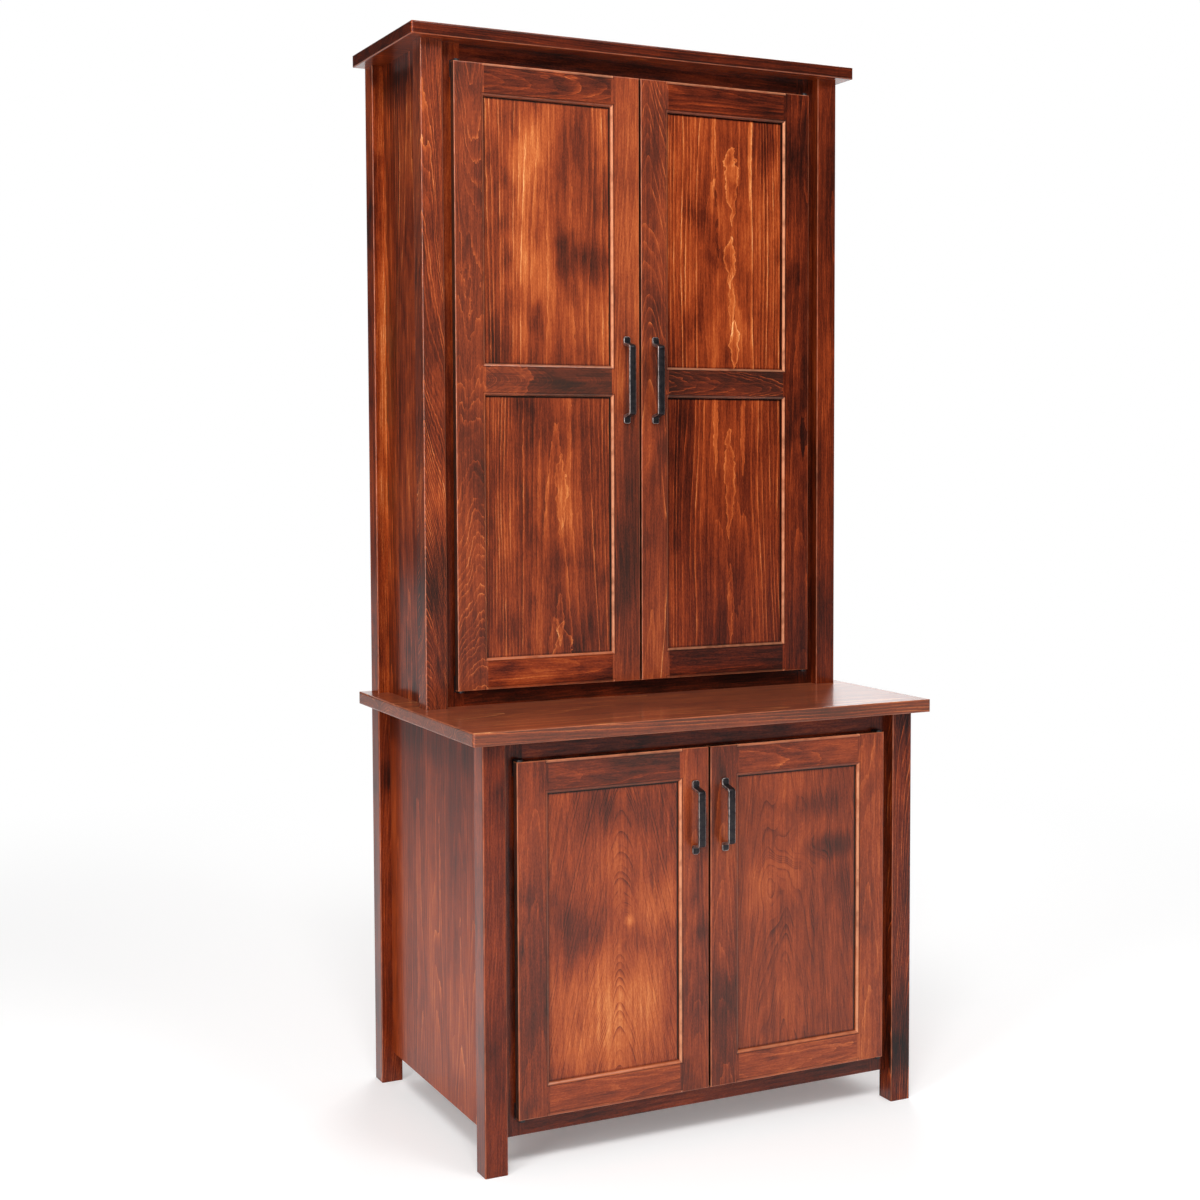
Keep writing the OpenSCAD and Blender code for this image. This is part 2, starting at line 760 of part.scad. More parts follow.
module hutch_cleats() {
    color(inner_colour) place() on_hutch() {
        top_cleats(hutch_back_y, hutch_top_z);
        for (s = [left, right])
            on_side(s) difference() {
                block(-inner_half, -inner_half + cleat_w, frame_back, hutch_back_y,
                      hutch_z, hutch_floor_top - board_t);
                mounting_screws(run_fit);
            }
    }
}

// Hardware of both cabinets
module shelf_pins() {
    color(steel_colour) place() {
        pins_under(base_depth, base_shelf_z);
        on_hutch() for (z = hutch_shelf_z)
            pins_under(hutch_depth, z);
    }
}

module pivot_brackets() {
    color(pull_colour) place() for (side = [left, right])
        on_side(side) {
            pivot_bracket(base_door_z0, -1);
            pivot_bracket(base_door_z1, 1);
            on_hutch() {
                pivot_bracket(hutch_door_z0, -1);
                pivot_bracket(hutch_door_z1, 1);
            }
        }
}

module wood_screws() {
    color(steel_colour) place() {
        top_cleat_screws(base_back_y, base_h);
        on_hutch() {
            top_cleat_screws(hutch_back_y, hutch_top_z);
            mounting_screws();
        }
        for (side = [left, right])
            on_side(side) {
                bracket_screws_at(base_door_z0, -1);
                bracket_screws_at(base_door_z1, 1);
                on_hutch() {
                    bracket_screws_at(hutch_door_z0, -1);
                    bracket_screws_at(hutch_door_z1, 1);
                }
            }
    }
}

module door_catches() {
    color(steel_colour) place() {
        magnetic_catch(base_rail_top_z);
        on_hutch() magnetic_catch(hutch_rail_top_z);
    }
}

// Doors of the base
module base_door_stiles(side) {
    color(wood_colour) place() on_side(side)
        bored_stiles(base_door_z0, base_door_z1, base_spans, base_pull_l, base_pull_z);
}

module base_door_rails(side) {
    color(wood_colour) place() on_side(side)
        door_rails(base_door_z0, base_door_z1, base_spans);
}

module base_door_panel(side) {
    color(panel_colour) place() on_side(side) door_panels(base_spans);
}

module base_door_pull(side) {
    color(pull_colour) place() on_side(side) pull_strap(base_pull_l, base_pull_z);
}

module base_door_pull_screws(side) {
    color(steel_colour) place() on_side(side) pull_screws(base_pull_l, base_pull_z);
}

module base_door_fittings(side) {
    color(steel_colour) place() on_side(side)
        door_fittings(base_door_z0, base_door_z1, base_rail_top_z);
}

// Doors of the hutch
module hutch_door_stiles(side) {
    color(wood_colour) place() on_hutch() on_side(side)
        bored_stiles(hutch_door_z0, hutch_door_z1, hutch_spans, hutch_pull_l, hutch_pull_z);
}

module hutch_door_rails(side) {
    color(wood_colour) place() on_hutch() on_side(side)
        door_rails(hutch_door_z0, hutch_door_z1, hutch_spans);
}

module hutch_door_panels(side) {
    color(panel_colour) place() on_hutch() on_side(side) door_panels(hutch_spans);
}

module hutch_door_pull(side) {
    color(pull_colour) place() on_hutch() on_side(side) pull_strap(hutch_pull_l, hutch_pull_z);
}

module hutch_door_pull_screws(side) {
    color(steel_colour) place() on_hutch() on_side(side) pull_screws(hutch_pull_l, hutch_pull_z);
}

module hutch_door_fittings(side) {
    color(steel_colour) place() on_hutch() on_side(side)
        door_fittings(hutch_door_z0, hutch_door_z1, hutch_rail_top_z);
}

base_top();
base_post(left, false);  // base_post_front_left
base_post(right, false);  // base_post_front_right
base_post(left, true);  // base_post_rear_left
base_post(right, true);  // base_post_rear_right
base_side(left);  // base_side_left
base_side(right);  // base_side_right
base_back();
base_floor();
base_shelf();
base_frame_stile(left);  // base_frame_stile_left
base_frame_stile(right);  // base_frame_stile_right
base_frame_rail_top();
base_frame_rail_bottom();
base_cleats();
hutch_top();
hutch_post(left, false);  // hutch_post_front_left
hutch_post(right, false);  // hutch_post_front_right
hutch_post(left, true);  // hutch_post_rear_left
hutch_post(right, true);  // hutch_post_rear_right
hutch_side(left);  // hutch_side_left
hutch_side(right);  // hutch_side_right
hutch_back();
hutch_floor();
hutch_shelf(0);  // hutch_shelf_lower
hutch_shelf(1);  // hutch_shelf_middle
hutch_shelf(2);  // hutch_shelf_upper
hutch_frame_stile(left);  // hutch_frame_stile_left
hutch_frame_stile(right);  // hutch_frame_stile_right
hutch_frame_rail_top();
hutch_frame_rail_bottom();
hutch_cleats();
shelf_pins();
pivot_brackets();
wood_screws();
door_catches();
base_door_stiles(left);  // base_left_door_stiles
base_door_rails(left);  // base_left_door_rails
base_door_panel(left);  // base_left_door_panel
base_door_pull(left);  // base_left_door_pull
base_door_pull_screws(left);  // base_left_door_pull_screws
base_door_fittings(left);  // base_left_door_fittings
base_door_stiles(right);  // base_right_door_stiles
base_door_rails(right);  // base_right_door_rails
base_door_panel(right);  // base_right_door_panel
base_door_pull(right);  // base_right_door_pull
base_door_pull_screws(right);  // base_right_door_pull_screws
base_door_fittings(right);  // base_right_door_fittings
hutch_door_stiles(left);  // hutch_left_door_stiles
hutch_door_rails(left);  // hutch_left_door_rails
hutch_door_panels(left);  // hutch_left_door_panels
hutch_door_pull(left);  // hutch_left_door_pull
hutch_door_pull_screws(left);  // hutch_left_door_pull_screws
hutch_door_fittings(left);  // hutch_left_door_fittings
hutch_door_stiles(right);  // hutch_right_door_stiles
hutch_door_rails(right);  // hutch_right_door_rails
hutch_door_panels(right);  // hutch_right_door_panels
hutch_door_pull(right);  // hutch_right_door_pull
hutch_door_pull_screws(right);  // hutch_right_door_pull_screws
hutch_door_fittings(right);  // hutch_right_door_fittings
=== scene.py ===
# %% [markdown]
# A cabinet for a printer with a hutch on top, dressed in Blender.
# The solids come from the construction model and keep their size and place. This lesson gives them
# their finishes, rebuilds the small hardware in more detail, and sets the camera, floor and light.
# Lengths are metres, and the frame is the one of the construction model: X to the right, Y to the
# back, Z up, with the feet on the floor at Z = 0.

# %% Load the frame
import math

import bmesh
import bpy
import numpy as np
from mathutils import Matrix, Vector


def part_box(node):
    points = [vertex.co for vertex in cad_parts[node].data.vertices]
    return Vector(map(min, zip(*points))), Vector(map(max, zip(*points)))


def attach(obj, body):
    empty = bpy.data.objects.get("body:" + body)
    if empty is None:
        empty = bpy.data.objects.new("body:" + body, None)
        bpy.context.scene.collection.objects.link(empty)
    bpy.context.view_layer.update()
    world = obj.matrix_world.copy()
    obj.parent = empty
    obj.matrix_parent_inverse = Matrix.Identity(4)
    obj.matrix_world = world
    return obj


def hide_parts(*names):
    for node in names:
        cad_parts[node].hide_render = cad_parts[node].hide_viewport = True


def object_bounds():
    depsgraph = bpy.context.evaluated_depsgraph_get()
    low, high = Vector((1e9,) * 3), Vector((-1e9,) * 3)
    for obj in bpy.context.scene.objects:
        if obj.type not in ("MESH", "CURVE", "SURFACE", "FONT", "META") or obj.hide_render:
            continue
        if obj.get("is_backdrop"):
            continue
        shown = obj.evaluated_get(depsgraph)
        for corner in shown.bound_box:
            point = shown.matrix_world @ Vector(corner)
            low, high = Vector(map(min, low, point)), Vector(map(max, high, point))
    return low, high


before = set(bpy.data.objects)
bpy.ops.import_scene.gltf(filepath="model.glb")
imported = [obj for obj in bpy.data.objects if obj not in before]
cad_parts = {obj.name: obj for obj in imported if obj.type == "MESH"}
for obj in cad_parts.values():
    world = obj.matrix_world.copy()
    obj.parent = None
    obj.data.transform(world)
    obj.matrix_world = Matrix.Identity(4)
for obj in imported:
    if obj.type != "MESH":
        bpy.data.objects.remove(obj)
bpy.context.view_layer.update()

# %% [markdown]
# The camera stands to the left of the cabinet, a little above the middle of its height, and looks
# almost level, so upright edges stay nearly upright. A rather long lens keeps the two sides nearly
# parallel. The small shift frames the cabinet without tilting the camera, as a view camera does. It
# is kept small on purpose: the same camera is moved round the cabinet for the other views, and a
# large shift would cut off the top there.


# %% Place the camera
def add_object(name, data):
    made = bpy.data.objects.new(name, data)
    bpy.context.scene.collection.objects.link(made)
    return made


camera_data = bpy.data.cameras.new("camera")
camera_data.sensor_width = 36.0
camera_data.lens = 56.109
camera_data.shift_x = -0.06667
camera_data.shift_y = -0.03333
camera = add_object("camera", camera_data)
camera.location = (-1.5655, -3.1893, 1.234)
camera.rotation_euler = (math.radians(86.646), math.radians(0.078), math.radians(-27.382))
bpy.context.scene.camera = camera
bpy.context.scene.view_settings.view_transform = "Standard"
print("Camera", round(math.dist(camera.location, (0, 0, 1)), 2), "m from the middle of the cabinet")

# %% [markdown]
# Finishes and surroundings are made of nodes. Writing node code by hand gets long, so this small
# helper adds a node, fills its inputs with numbers or links, and hands back the output. A pattern
# then reads like a sum.


# %% A helper that wires nodes
class Wiring:
    def __init__(self, tree):
        self.tree = tree

    def feed(self, socket, value):
        if isinstance(value, bpy.types.NodeSocket):
            self.tree.links.new(value, socket)
        else:
            socket.default_value = value

    def node(self, kind, inputs=None, **settings):
        made = self.tree.nodes.new(kind)
        for name, value in settings.items():
            setattr(made, name, value)
        for name, value in (inputs or {}).items():
            self.feed(made.inputs[name], value)
        return made

    def math(self, operation, *values, clamp=False):
        made = self.node("ShaderNodeMath", operation=operation, use_clamp=clamp)
        for socket, value in zip(made.inputs, values):
            self.feed(socket, value)
        return made.outputs[0]

    def chain(self, operation, values):
        result = values[0]
        for value in values[1:]:
            result = self.math(operation, result, value)
        return result

    def total(self, *values):
        return self.chain("ADD", values)

    def times(self, *values):
        return self.chain("MULTIPLY", values)

    def minus(self, first, second):
        return self.math("SUBTRACT", first, second)

    def line(self, value, slope, start):
        """The value times a slope, plus a start."""
        return self.math("MULTIPLY_ADD", value, slope, start)

    def around(self, value, weight):
        """A value from 0 to 1, counted from its middle, times a weight."""
        return self.times(self.minus(value, 0.5), weight)

    def vector(self, operation, *values):
        made = self.node("ShaderNodeVectorMath", operation=operation)
        for socket, value in zip(made.inputs, values):
            self.feed(socket, value)
        number = operation in ("DOT_PRODUCT", "LENGTH", "DISTANCE")
        return made.outputs["Value" if number else "Vector"]

    def split(self, vector):
        made = self.node("ShaderNodeSeparateXYZ", {"Vector": vector})
        return made.outputs[0], made.outputs[1], made.outputs[2]

    def join(self, x, y, z):
        return self.node("ShaderNodeCombineXYZ", {"X": x, "Y": y, "Z": z}).outputs[0]

    def noise(self, place, size, detail=2.0, roughness=0.5):
        """Noise whose lumps are about as large as size, one length or one for each axis."""
        sizes = [size] * 3 if isinstance(size, float) else size
        scaled = self.vector("MULTIPLY", place, [1 / s for s in sizes])
        made = self.node("ShaderNodeTexNoise", {"Vector": scaled, "Scale": 1.0, "Detail": detail,
                                                "Roughness": roughness})
        return made.outputs["Fac"]

    def chance(self, number):
        """Three random values from 0 to 1 that stay the same for the same number."""
        made = self.node("ShaderNodeTexWhiteNoise", {"W": number}, noise_dimensions="1D")
        return made.outputs["Color"]

    def step(self, value, low, high, out_low=0.0, out_high=1.0):
        made = self.node("ShaderNodeMapRange", {"Value": value, "From Min": low, "From Max": high,
                                                "To Min": out_low, "To Max": out_high},
                         interpolation_type="SMOOTHSTEP")
        return made.outputs["Result"]

    def colours(self, value, stops):
        made = self.node("ShaderNodeValToRGB", {"Fac": value})
        ramp = made.color_ramp
        while len(ramp.elements) < len(stops):
            ramp.elements.new(0.5)
        for element, (place, colour) in zip(ramp.elements, stops):
            element.position = place
            element.color = (*colour, 1.0)
        return made.outputs["Color"]

    def blend(self, amount, first, colour):
        made = self.node("ShaderNodeMix", data_type="RGBA")
        for socket, value in zip((made.inputs[0], made.inputs[6], made.inputs[7]),
                                 (amount, first, (*colour, 1))):
            self.feed(socket, value)
        return made.outputs[2]


def start_finish(name):
    """A new material, the helper that wires it, and the place on the object."""
    material = bpy.data.materials.new(name)
    material.use_nodes = True
    material.node_tree.nodes.clear()
    w = Wiring(material.node_tree)
    return material, w, w.node("ShaderNodeTexCoord").outputs["Object"]


def end_finish(w, colour, rough, height, strength, depth, more):
    """The shader of a finish, whose surface is uneven by a small depth."""
    bump = w.node("ShaderNodeBump", {"Strength": strength, "Distance": depth, "Height": height})
    shader = w.node("ShaderNodeBsdfPrincipled", {"Base Color": colour, "Roughness": rough,
                                                 "Normal": bump.outputs[0], **more})
    w.node("ShaderNodeOutputMaterial", {"Surface": shader.outputs[0]})


def dress(thing, material):
    """Puts one material on all the slots of a piece."""
    if not thing.material_slots:
        thing.data.materials.append(material)
    for slot in thing.material_slots:
        slot.material = material


def paint(red, green, blue):
    """A colour as a picture shows it, 0 to 255, turned into the light that Blender counts in."""
    return tuple(((v / 255 + 0.055) / 1.055) ** 2.4 if v > 10 else v / 255 / 12.92
                 for v in (red, green, blue))


print("Paint check, middle grey:", [round(v, 3) for v in paint(128, 128, 128)])

# %% [markdown]
# The background is the plain pale paper of a studio. The camera sees it white at strength 1, while
# the light that it sends to the cabinet stays plain. Gloss shows the white sheet where it hangs,
# behind the cabinet, and the dimmer room elsewhere: a dark lacquer under a white sky on all sides
# would look milky.

# %% Surroundings
SHEET_TURN = math.radians(27.2)
SHEET_EDGE = (0.8, 0.97)
ROOM_LIGHT = 0.035
PLAIN_LIGHT = 0.38
look = (math.sin(SHEET_TURN), math.cos(SHEET_TURN), 0.0)


def rays(w):
    """Whether a ray comes from the camera, and whether it comes off gloss or through glass."""
    path = w.node("ShaderNodeLightPath").outputs
    mirrored = w.math("ADD", path["Is Glossy Ray"], path["Is Transmission Ray"], clamp=True)
    return path["Is Camera Ray"], mirrored


world = bpy.data.worlds.new("studio")
bpy.context.scene.world = world
world.use_nodes = True
world.node_tree.nodes.clear()
w = Wiring(world.node_tree)
direction = w.node("ShaderNodeTexCoord").outputs["Generated"]
from_camera, mirrored = rays(w)
sheet = w.step(w.vector("DOT_PRODUCT", direction, look), *SHEET_EDGE, ROOM_LIGHT, 1.0)
seen = w.math("ADD", w.times(mirrored, sheet), from_camera, clamp=True)
plain = w.minus(1.0, w.math("ADD", mirrored, from_camera, clamp=True))
strength = w.total(seen, w.times(plain, PLAIN_LIGHT))
sky = w.node("ShaderNodeBackground", {"Color": (1, 1, 1, 1), "Strength": strength})
w.node("ShaderNodeOutputWorld", {"Surface": sky.outputs[0]})
print("World made of", len(world.node_tree.nodes), "nodes")

# %% [markdown]
# The floor is matt white paper. Under these lamps it would render light grey, while a studio
# photograph shows it white, so the eye gets a little light added to it. Farther out it turns plain
# white and runs into the background without a line. Near the cabinet it stays a real floor, which
# keeps the shadow and sends its light up to the wood.

# %% Floor
REACH = 14.0
LIFT = 0.2
floor_mesh = bpy.data.meshes.new("floor")
floor_mesh.from_pydata([(-REACH, -REACH, 0), (REACH, -REACH, 0), (REACH, REACH, 0),
                        (-REACH, REACH, 0)], [], [(0, 1, 2, 3)])
floor = add_object("floor", floor_mesh)
floor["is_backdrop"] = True
floor_paper, w, place = start_finish("floor_paper")
tint = w.colours(w.noise(place, 0.004), [(0.0, (0.84, 0.84, 0.84)), (1.0, (0.9, 0.9, 0.9))])
matt = w.node("ShaderNodeBsdfDiffuse", {"Color": tint})
from_camera, mirrored = rays(w)
outward = w.vector("DOT_PRODUCT", w.vector("NORMALIZE", place), look)
seen = w.math("ADD", from_camera, w.times(mirrored, w.step(outward, *SHEET_EDGE)), clamp=True)
away = w.step(w.vector("LENGTH", place), 1.3, 3.6)
lift = w.node("ShaderNodeEmission", {"Color": (1, 1, 1, 1), "Strength": w.times(seen, LIFT)})
near = w.node("ShaderNodeAddShader")
w.feed(near.inputs[0], matt.outputs[0])
w.feed(near.inputs[1], lift.outputs[0])
white = w.node("ShaderNodeEmission", {"Color": (1, 1, 1, 1), "Strength": 1.0})
both = w.node("ShaderNodeMixShader", {"Fac": w.times(seen, away)})
w.feed(both.inputs[1], near.outputs[0])
w.feed(both.inputs[2], white.outputs[0])
w.node("ShaderNodeOutputMaterial", {"Surface": both.outputs[0]})
floor_mesh.materials.append(floor_paper)
print("Floor", 2 * REACH, "m across")

# %% [markdown]
# Soft light comes from large lamps, because the size of a lamp sets how soft its shadow is. The key
# hangs high on the left, as the photograph shows by its shadow under the top and by its bright left
# edges. A weaker one high on the right, the fill, keeps the right side open. A tall one stands at
# the left like a window and draws the thin pale lines along the rounded edges, and one behind the
# cabinet lights its back.
# None of them stands where the fronts of the doors would mirror it into the camera, because a dark
# lacquer turns milky there.


# %% Lamps
def soft_lamp(name, place, target, width, height, power):
    data = bpy.data.lights.new(name, "AREA")
    data.shape = "RECTANGLE"
    data.size, data.size_y = width, height
    data.energy = power
    lamp = add_object(name, data)
    lamp.location = place
    lamp.rotation_euler = (Vector(target) - Vector(place)).to_track_quat("-Z", "Y").to_euler()
    lamp.visible_camera = False


soft_lamp("key", (-1.6, -3.0, 4.0), (0.0, 0.0, 1.0), 1.5, 1.5, 105)
soft_lamp("fill", (1.2, -3.2, 4.3), (0.0, 0.0, 0.9), 1.6, 1.6, 52)
soft_lamp("window", (-2.9, -1.9, 1.5), (-0.2, 0.0, 1.1), 1.0, 2.3, 52)
soft_lamp("back", (1.8, 3.4, 2.8), (0.0, 0.2, 1.2), 2.0, 2.0, 70)

# %% [markdown]
# The wood is brown maple, stained a dark reddish brown and lacquered. A board shows the growth
# rings of its tree: where the saw runs nearly along a ring they open into arches and flames, and
# towards the edges of the board they close up into straight lines.
# A picture of wood would repeat and could not turn the corner of a post. This pattern is solid
# instead: rings are distances from the heart of the tree, which lies somewhere behind the board's
# face and leans a little, so arches, flames and straight grain all come out of one rule, on every
# face of the board.

# %% The figure of a board
# What a board is like where its recipe says nothing else
PLAIN_BOARD = dict(board_width=0.11, heart_across=0.0, heart_depth=0.07, lean=0.03, bend=0.0,
                   ring=0.0045, wander=0.03, lines=1.0, bands=1.0, smoke=1.0, swing=0.0, jag=1.0,
                   sharp=6.0, cloudy=1.0)
JAG_DEPTH = 0.0018
figure = bpy.data.node_groups.new("board_figure", "ShaderNodeTree")
for name in ("place", "seed", "swell", *PLAIN_BOARD):
    kind = "NodeSocketVector" if name == "place" else "NodeSocketFloat"
    figure.interface.new_socket(name, in_out="INPUT", socket_type=kind)
for name in ("Tone", "Fibre"):
    figure.interface.new_socket(name, in_out="OUTPUT", socket_type="NodeSocketFloat")
w = Wiring(figure)
given = w.node("NodeGroupInput").outputs
along, across, depth = w.split(given["place"])

# Boards that are glued side by side
slot_number = w.math("FLOOR", w.total(w.math("DIVIDE", across, given["board_width"]), 0.5))
board = w.line(slot_number, 3.7, given["seed"])
chance_x, chance_y, chance_z = w.split(w.chance(board))
own_across = w.minus(across, w.times(slot_number, given["board_width"]))
shift = w.vector("MULTIPLY", w.chance(w.total(board, 0.37)), (3.0, 3.0, 3.0))
spot = w.vector("ADD", w.join(along, own_across, depth), shift)

# Distance from the heart of the tree
u = w.total(own_across, w.times(given["heart_across"], -1.0),
            w.times(w.minus(chance_x, 0.5), given["board_width"], given["swing"]))
v = w.total(depth, w.times(given["heart_depth"], w.line(chance_y, 0.5, 0.75)))
radius = w.math("SQRT", w.total(w.times(u, u), w.times(v, v)))
lean = w.times(along, w.line(along, given["bend"], given["lean"]))
slow = w.noise(spot, (0.5, 0.06, 0.06), 1.0, 0.4)
jag = w.noise(spot, (0.024, 0.007, 0.007))
field = w.total(radius, lean, given["swell"], w.around(slow, given["wander"]),
                w.around(jag, w.times(given["jag"], JAG_DEPTH)))
rings = w.math("DIVIDE", field, given["ring"])
ring = w.math("FLOOR", rings)
phase = w.math("FRACT", rings)
ring_x, ring_y, ring_z = w.split(w.chance(w.line(ring, 0.731, board)))

# Tone of the rings: one sharp bright edge, then a slow fall back to the dark side
fade = w.step(w.noise(spot, (0.1, 0.014, 0.014), 1.0), 0.34, 0.62, 0.3, 1.15)
bright = w.times(w.math("POWER", phase, given["sharp"]), w.step(ring_y, 0.1, 0.9), fade,
                 given["lines"])
band = w.around(ring_x, 0.08)
ramped = w.times(w.minus(w.math("POWER", phase, 2.5), 0.28), w.times(ring_z, 0.22))

# Stripes, pores and smoky clouds of stain
fibre = w.noise(spot, (0.005, 0.0012, 0.0012), 2.0, 0.6)
fleck = w.noise(spot, (0.04, 0.0028, 0.0028), 2.0, 0.6)
stripe = w.noise(spot, (0.45, 0.007, 0.007), 3.0, 0.55)
cloud = w.noise(spot, (0.2, 0.085, 0.085))
smoke = w.noise(w.vector("ADD", spot, (7.0, 3.0, 5.0)), (0.11, 0.065, 0.065), 2.5)
smoke = w.times(w.step(smoke, 0.46, 0.86), given["smoke"])
tone = w.total(
    0.5, w.times(bright, 0.34), w.times(w.total(band, ramped), given["bands"]),
    w.around(fibre, 0.36), w.around(fleck, 0.4), w.around(stripe, 0.36),
    w.around(cloud, w.times(given["cloudy"], 0.55)), w.times(smoke, -0.3),
    w.around(chance_z, 0.08))
w.node("NodeGroupOutput", {"Tone": tone, "Fibre": fibre})
print("Board figure made of", len(figure.nodes), "nodes")

# %% [markdown]
# One recipe makes all the wooden pieces. Each node of the cabinet gets a material of its own,
# because each board came from another place in the tree: its own seed, heart and lean. Where a node
# holds several boards of one kind, such as the two stiles of a door, the recipe folds the place
# back to the middle of each board, so that each still has its own figure.
# Along the outer edges a narrow band is lighter. The sander has thinned the stain there, and the
# band also paints the highlight that the rounded arrises catch. The crest of the bead round each
# opening gets a painted highlight, strongest on the right and bottom sides, and its quirk gets a
# thin line of painted shade. The panel gets painted shade where it runs into its groove, strongest
# at the top and right. The outermost millimetre of a door's sides is painted nearly black, as the
# shade in the gap between the doors.
# Some boards need more than the rule gives. A cloud is a soft patch of darker or lighter stain, a
# flame is a pointed shape with a bright outline, where the saw grazed the crest of a ring, and a
# veil mixes a little grey into the colour. A few clouds are painted light instead, which is said
# where they stand.

# %% The stain and lacquer
STAIN = [
    (0.00, paint(16, 4, 1)),
    (0.18, paint(54, 15, 4)),
    (0.36, paint(100, 33, 10)),
    (0.54, paint(147, 58, 21)),
    (0.72, paint(188, 92, 40)),
    (0.88, paint(216, 130, 70)),
    (1.00, paint(238, 172, 112)),
]
VEIL_GREY = paint(120, 116, 104)
# Lighter edges: worn stain, and a painted highlight on the rounded arrises
WORN_AND_LIT_EDGE = paint(206, 122, 84)
# A painted highlight on the crest of the bead, and painted shade in its quirk
BEAD_HIGHLIGHT_COLOUR = paint(222, 146, 106)
QUIRK_SHADE_COLOUR = paint(34, 11, 6)
EDGE_BAND_WIDTH = 0.0022
BEAD_DEPTH = 0.0075
# For the left, right, bottom and top side of an opening: how much painted shade darkens the panel
# where it runs into its groove, and how strong the painted highlight on the bead there is
GROOVE_SHADE_BY_SIDE = (-0.14, -0.55, -0.1, -0.5)
BEAD_HIGHLIGHT_BY_SIDE = (0.16, 0.85, 0.4, 0.1)
AXES = {"X": 0, "Y": 1, "Z": 2}
wood_made = []


def middle(low, high):
    return [(a + b) / 2 for a, b in zip(low, high)]


def is_board(w, number, which):
    return w.math("COMPARE", number, float(which), 0.5)


def per_piece(w, number, value):
    """One value for all boards of a node, or a list with one value for each."""
    if not isinstance(value, (list, tuple)):
        return value
    return w.total(*[w.times(is_board(w, number, k), float(v)) for k, v in enumerate(value)])


def on_board(w, number, only, value):
    """The value on one board of a node, or on all its boards where only is None."""
    return value if only is None else w.times(value, is_board(w, number, only))


def inset(w, place, low, high):
    """How far a place lies inside the sides of a box, on each axis."""
    half = [(b - a) / 2 for a, b in zip(low, high)]
    away = w.vector("ABSOLUTE", w.vector("SUBTRACT", place, middle(low, high)))
    return w.split(w.vector("SUBTRACT", half, away))


def edge_band(w, place, low, high):
    """1 on the outer edges of a box and 0 away from them, by the middle one of three distances."""
    x, y, z = inset(w, place, low, high)
    between = w.math("MAXIMUM", w.math("MINIMUM", x, y),
                     w.math("MINIMUM", w.math("MAXIMUM", x, y), z))
    return w.step(between, EDGE_BAND_WIDTH * 0.25, EDGE_BAND_WIDTH, 1.0, 0.0)


def rim_band(w, place, low, high, axes):
    """1 in the outermost millimetre of a box across the given axes."""
    parts = inset(w, place, low, high)
    near = w.math("MINIMUM", parts[AXES[axes[0]]], parts[AXES[axes[1]]])
    return w.step(near, 0.0006, 0.0012, 1.0, 0.0)


def soft_patch(w, own, number, x, z, half_x, half_z, amount, only=None):
    """A soft oval patch on the front of a board, on one board of the node or on all."""
    far = w.vector("MULTIPLY", w.vector("SUBTRACT", own, (x, 0.0, z)),
                   (1 / half_x, 0.0, 1 / half_z))
    return on_board(w, number, only, w.step(w.vector("LENGTH", far), 0.0, 1.7, amount, 0.0))


def flame_shape(w, own, number, along, x, z, half_x, half_z, amount, only=None, taper=0.0):
    """A pointed flame with a bright wavy outline, where the saw grazed a crest of a ring.

    A positive taper makes its upper or right end the wide one.
    """
    across, _, up = w.split(w.vector("SUBTRACT", own, (x, 0.0, z)))
    slow = (0.5, 0.5, 0.045)
    if along == "X":
        across, up, half_x, half_z = up, across, half_z, half_x
        slow = (0.045, 0.5, 0.5)
    sway = w.minus(w.noise(own, slow, 1.0), 0.5)
    across = w.line(sway, half_x * 2.2, across)
    jag = w.minus(w.noise(own, 0.012), 0.5)
    rise = w.math("DIVIDE", up, half_z)
    waist = w.math("ABSOLUTE", w.math("DIVIDE", across, half_x))
    room = w.math("MAXIMUM", w.line(rise, taper, 1.0), 0.1)
    waist = w.line(jag, 1.3, w.math("DIVIDE", waist, room))
    distance = w.math("ABSOLUTE", w.total(waist, w.times(rise, rise)))
    inside = w.math("LESS_THAN", distance, 1.0)
    # A narrow flame is filled, a wide one has a dim inside
    fill = 0.75 if half_x < 0.005 else 0.25
    brightness = w.line(w.math("POWER", distance, 3.0), 1.0 - fill, fill)
    return on_board(w, number, only, w.times(brightness, w.times(inside, amount)))


def round_opening(w, place, centre_x, centre_z, half_x, half_z, pitch, sides):
    """How far a point of a door lies outside its nearest opening, and the value of that side.

    sides holds one value each for the left, right, bottom and top side of the opening.
    """
    left, right, bottom, top = sides
    x, _, z = w.split(w.vector("SUBTRACT", place, (centre_x, 0.0, centre_z)))
    turn = w.math("FLOOR", w.line(z, 1 / pitch, 0.5))
    z = w.minus(z, w.times(turn, pitch))
    out_x = w.minus(w.math("ABSOLUTE", x), half_x)
    out_z = w.minus(w.math("ABSOLUTE", z), half_z)
    upright = w.math("GREATER_THAN", out_x, out_z)
    beside = w.line(w.math("GREATER_THAN", x, 0.0), right - left, left)
    across = w.line(w.math("GREATER_THAN", z, 0.0), top - bottom, bottom)
    share = w.total(w.times(upright, beside), w.times(w.minus(1.0, upright), across))
    return w.math("MAXIMUM", out_x, out_z), share


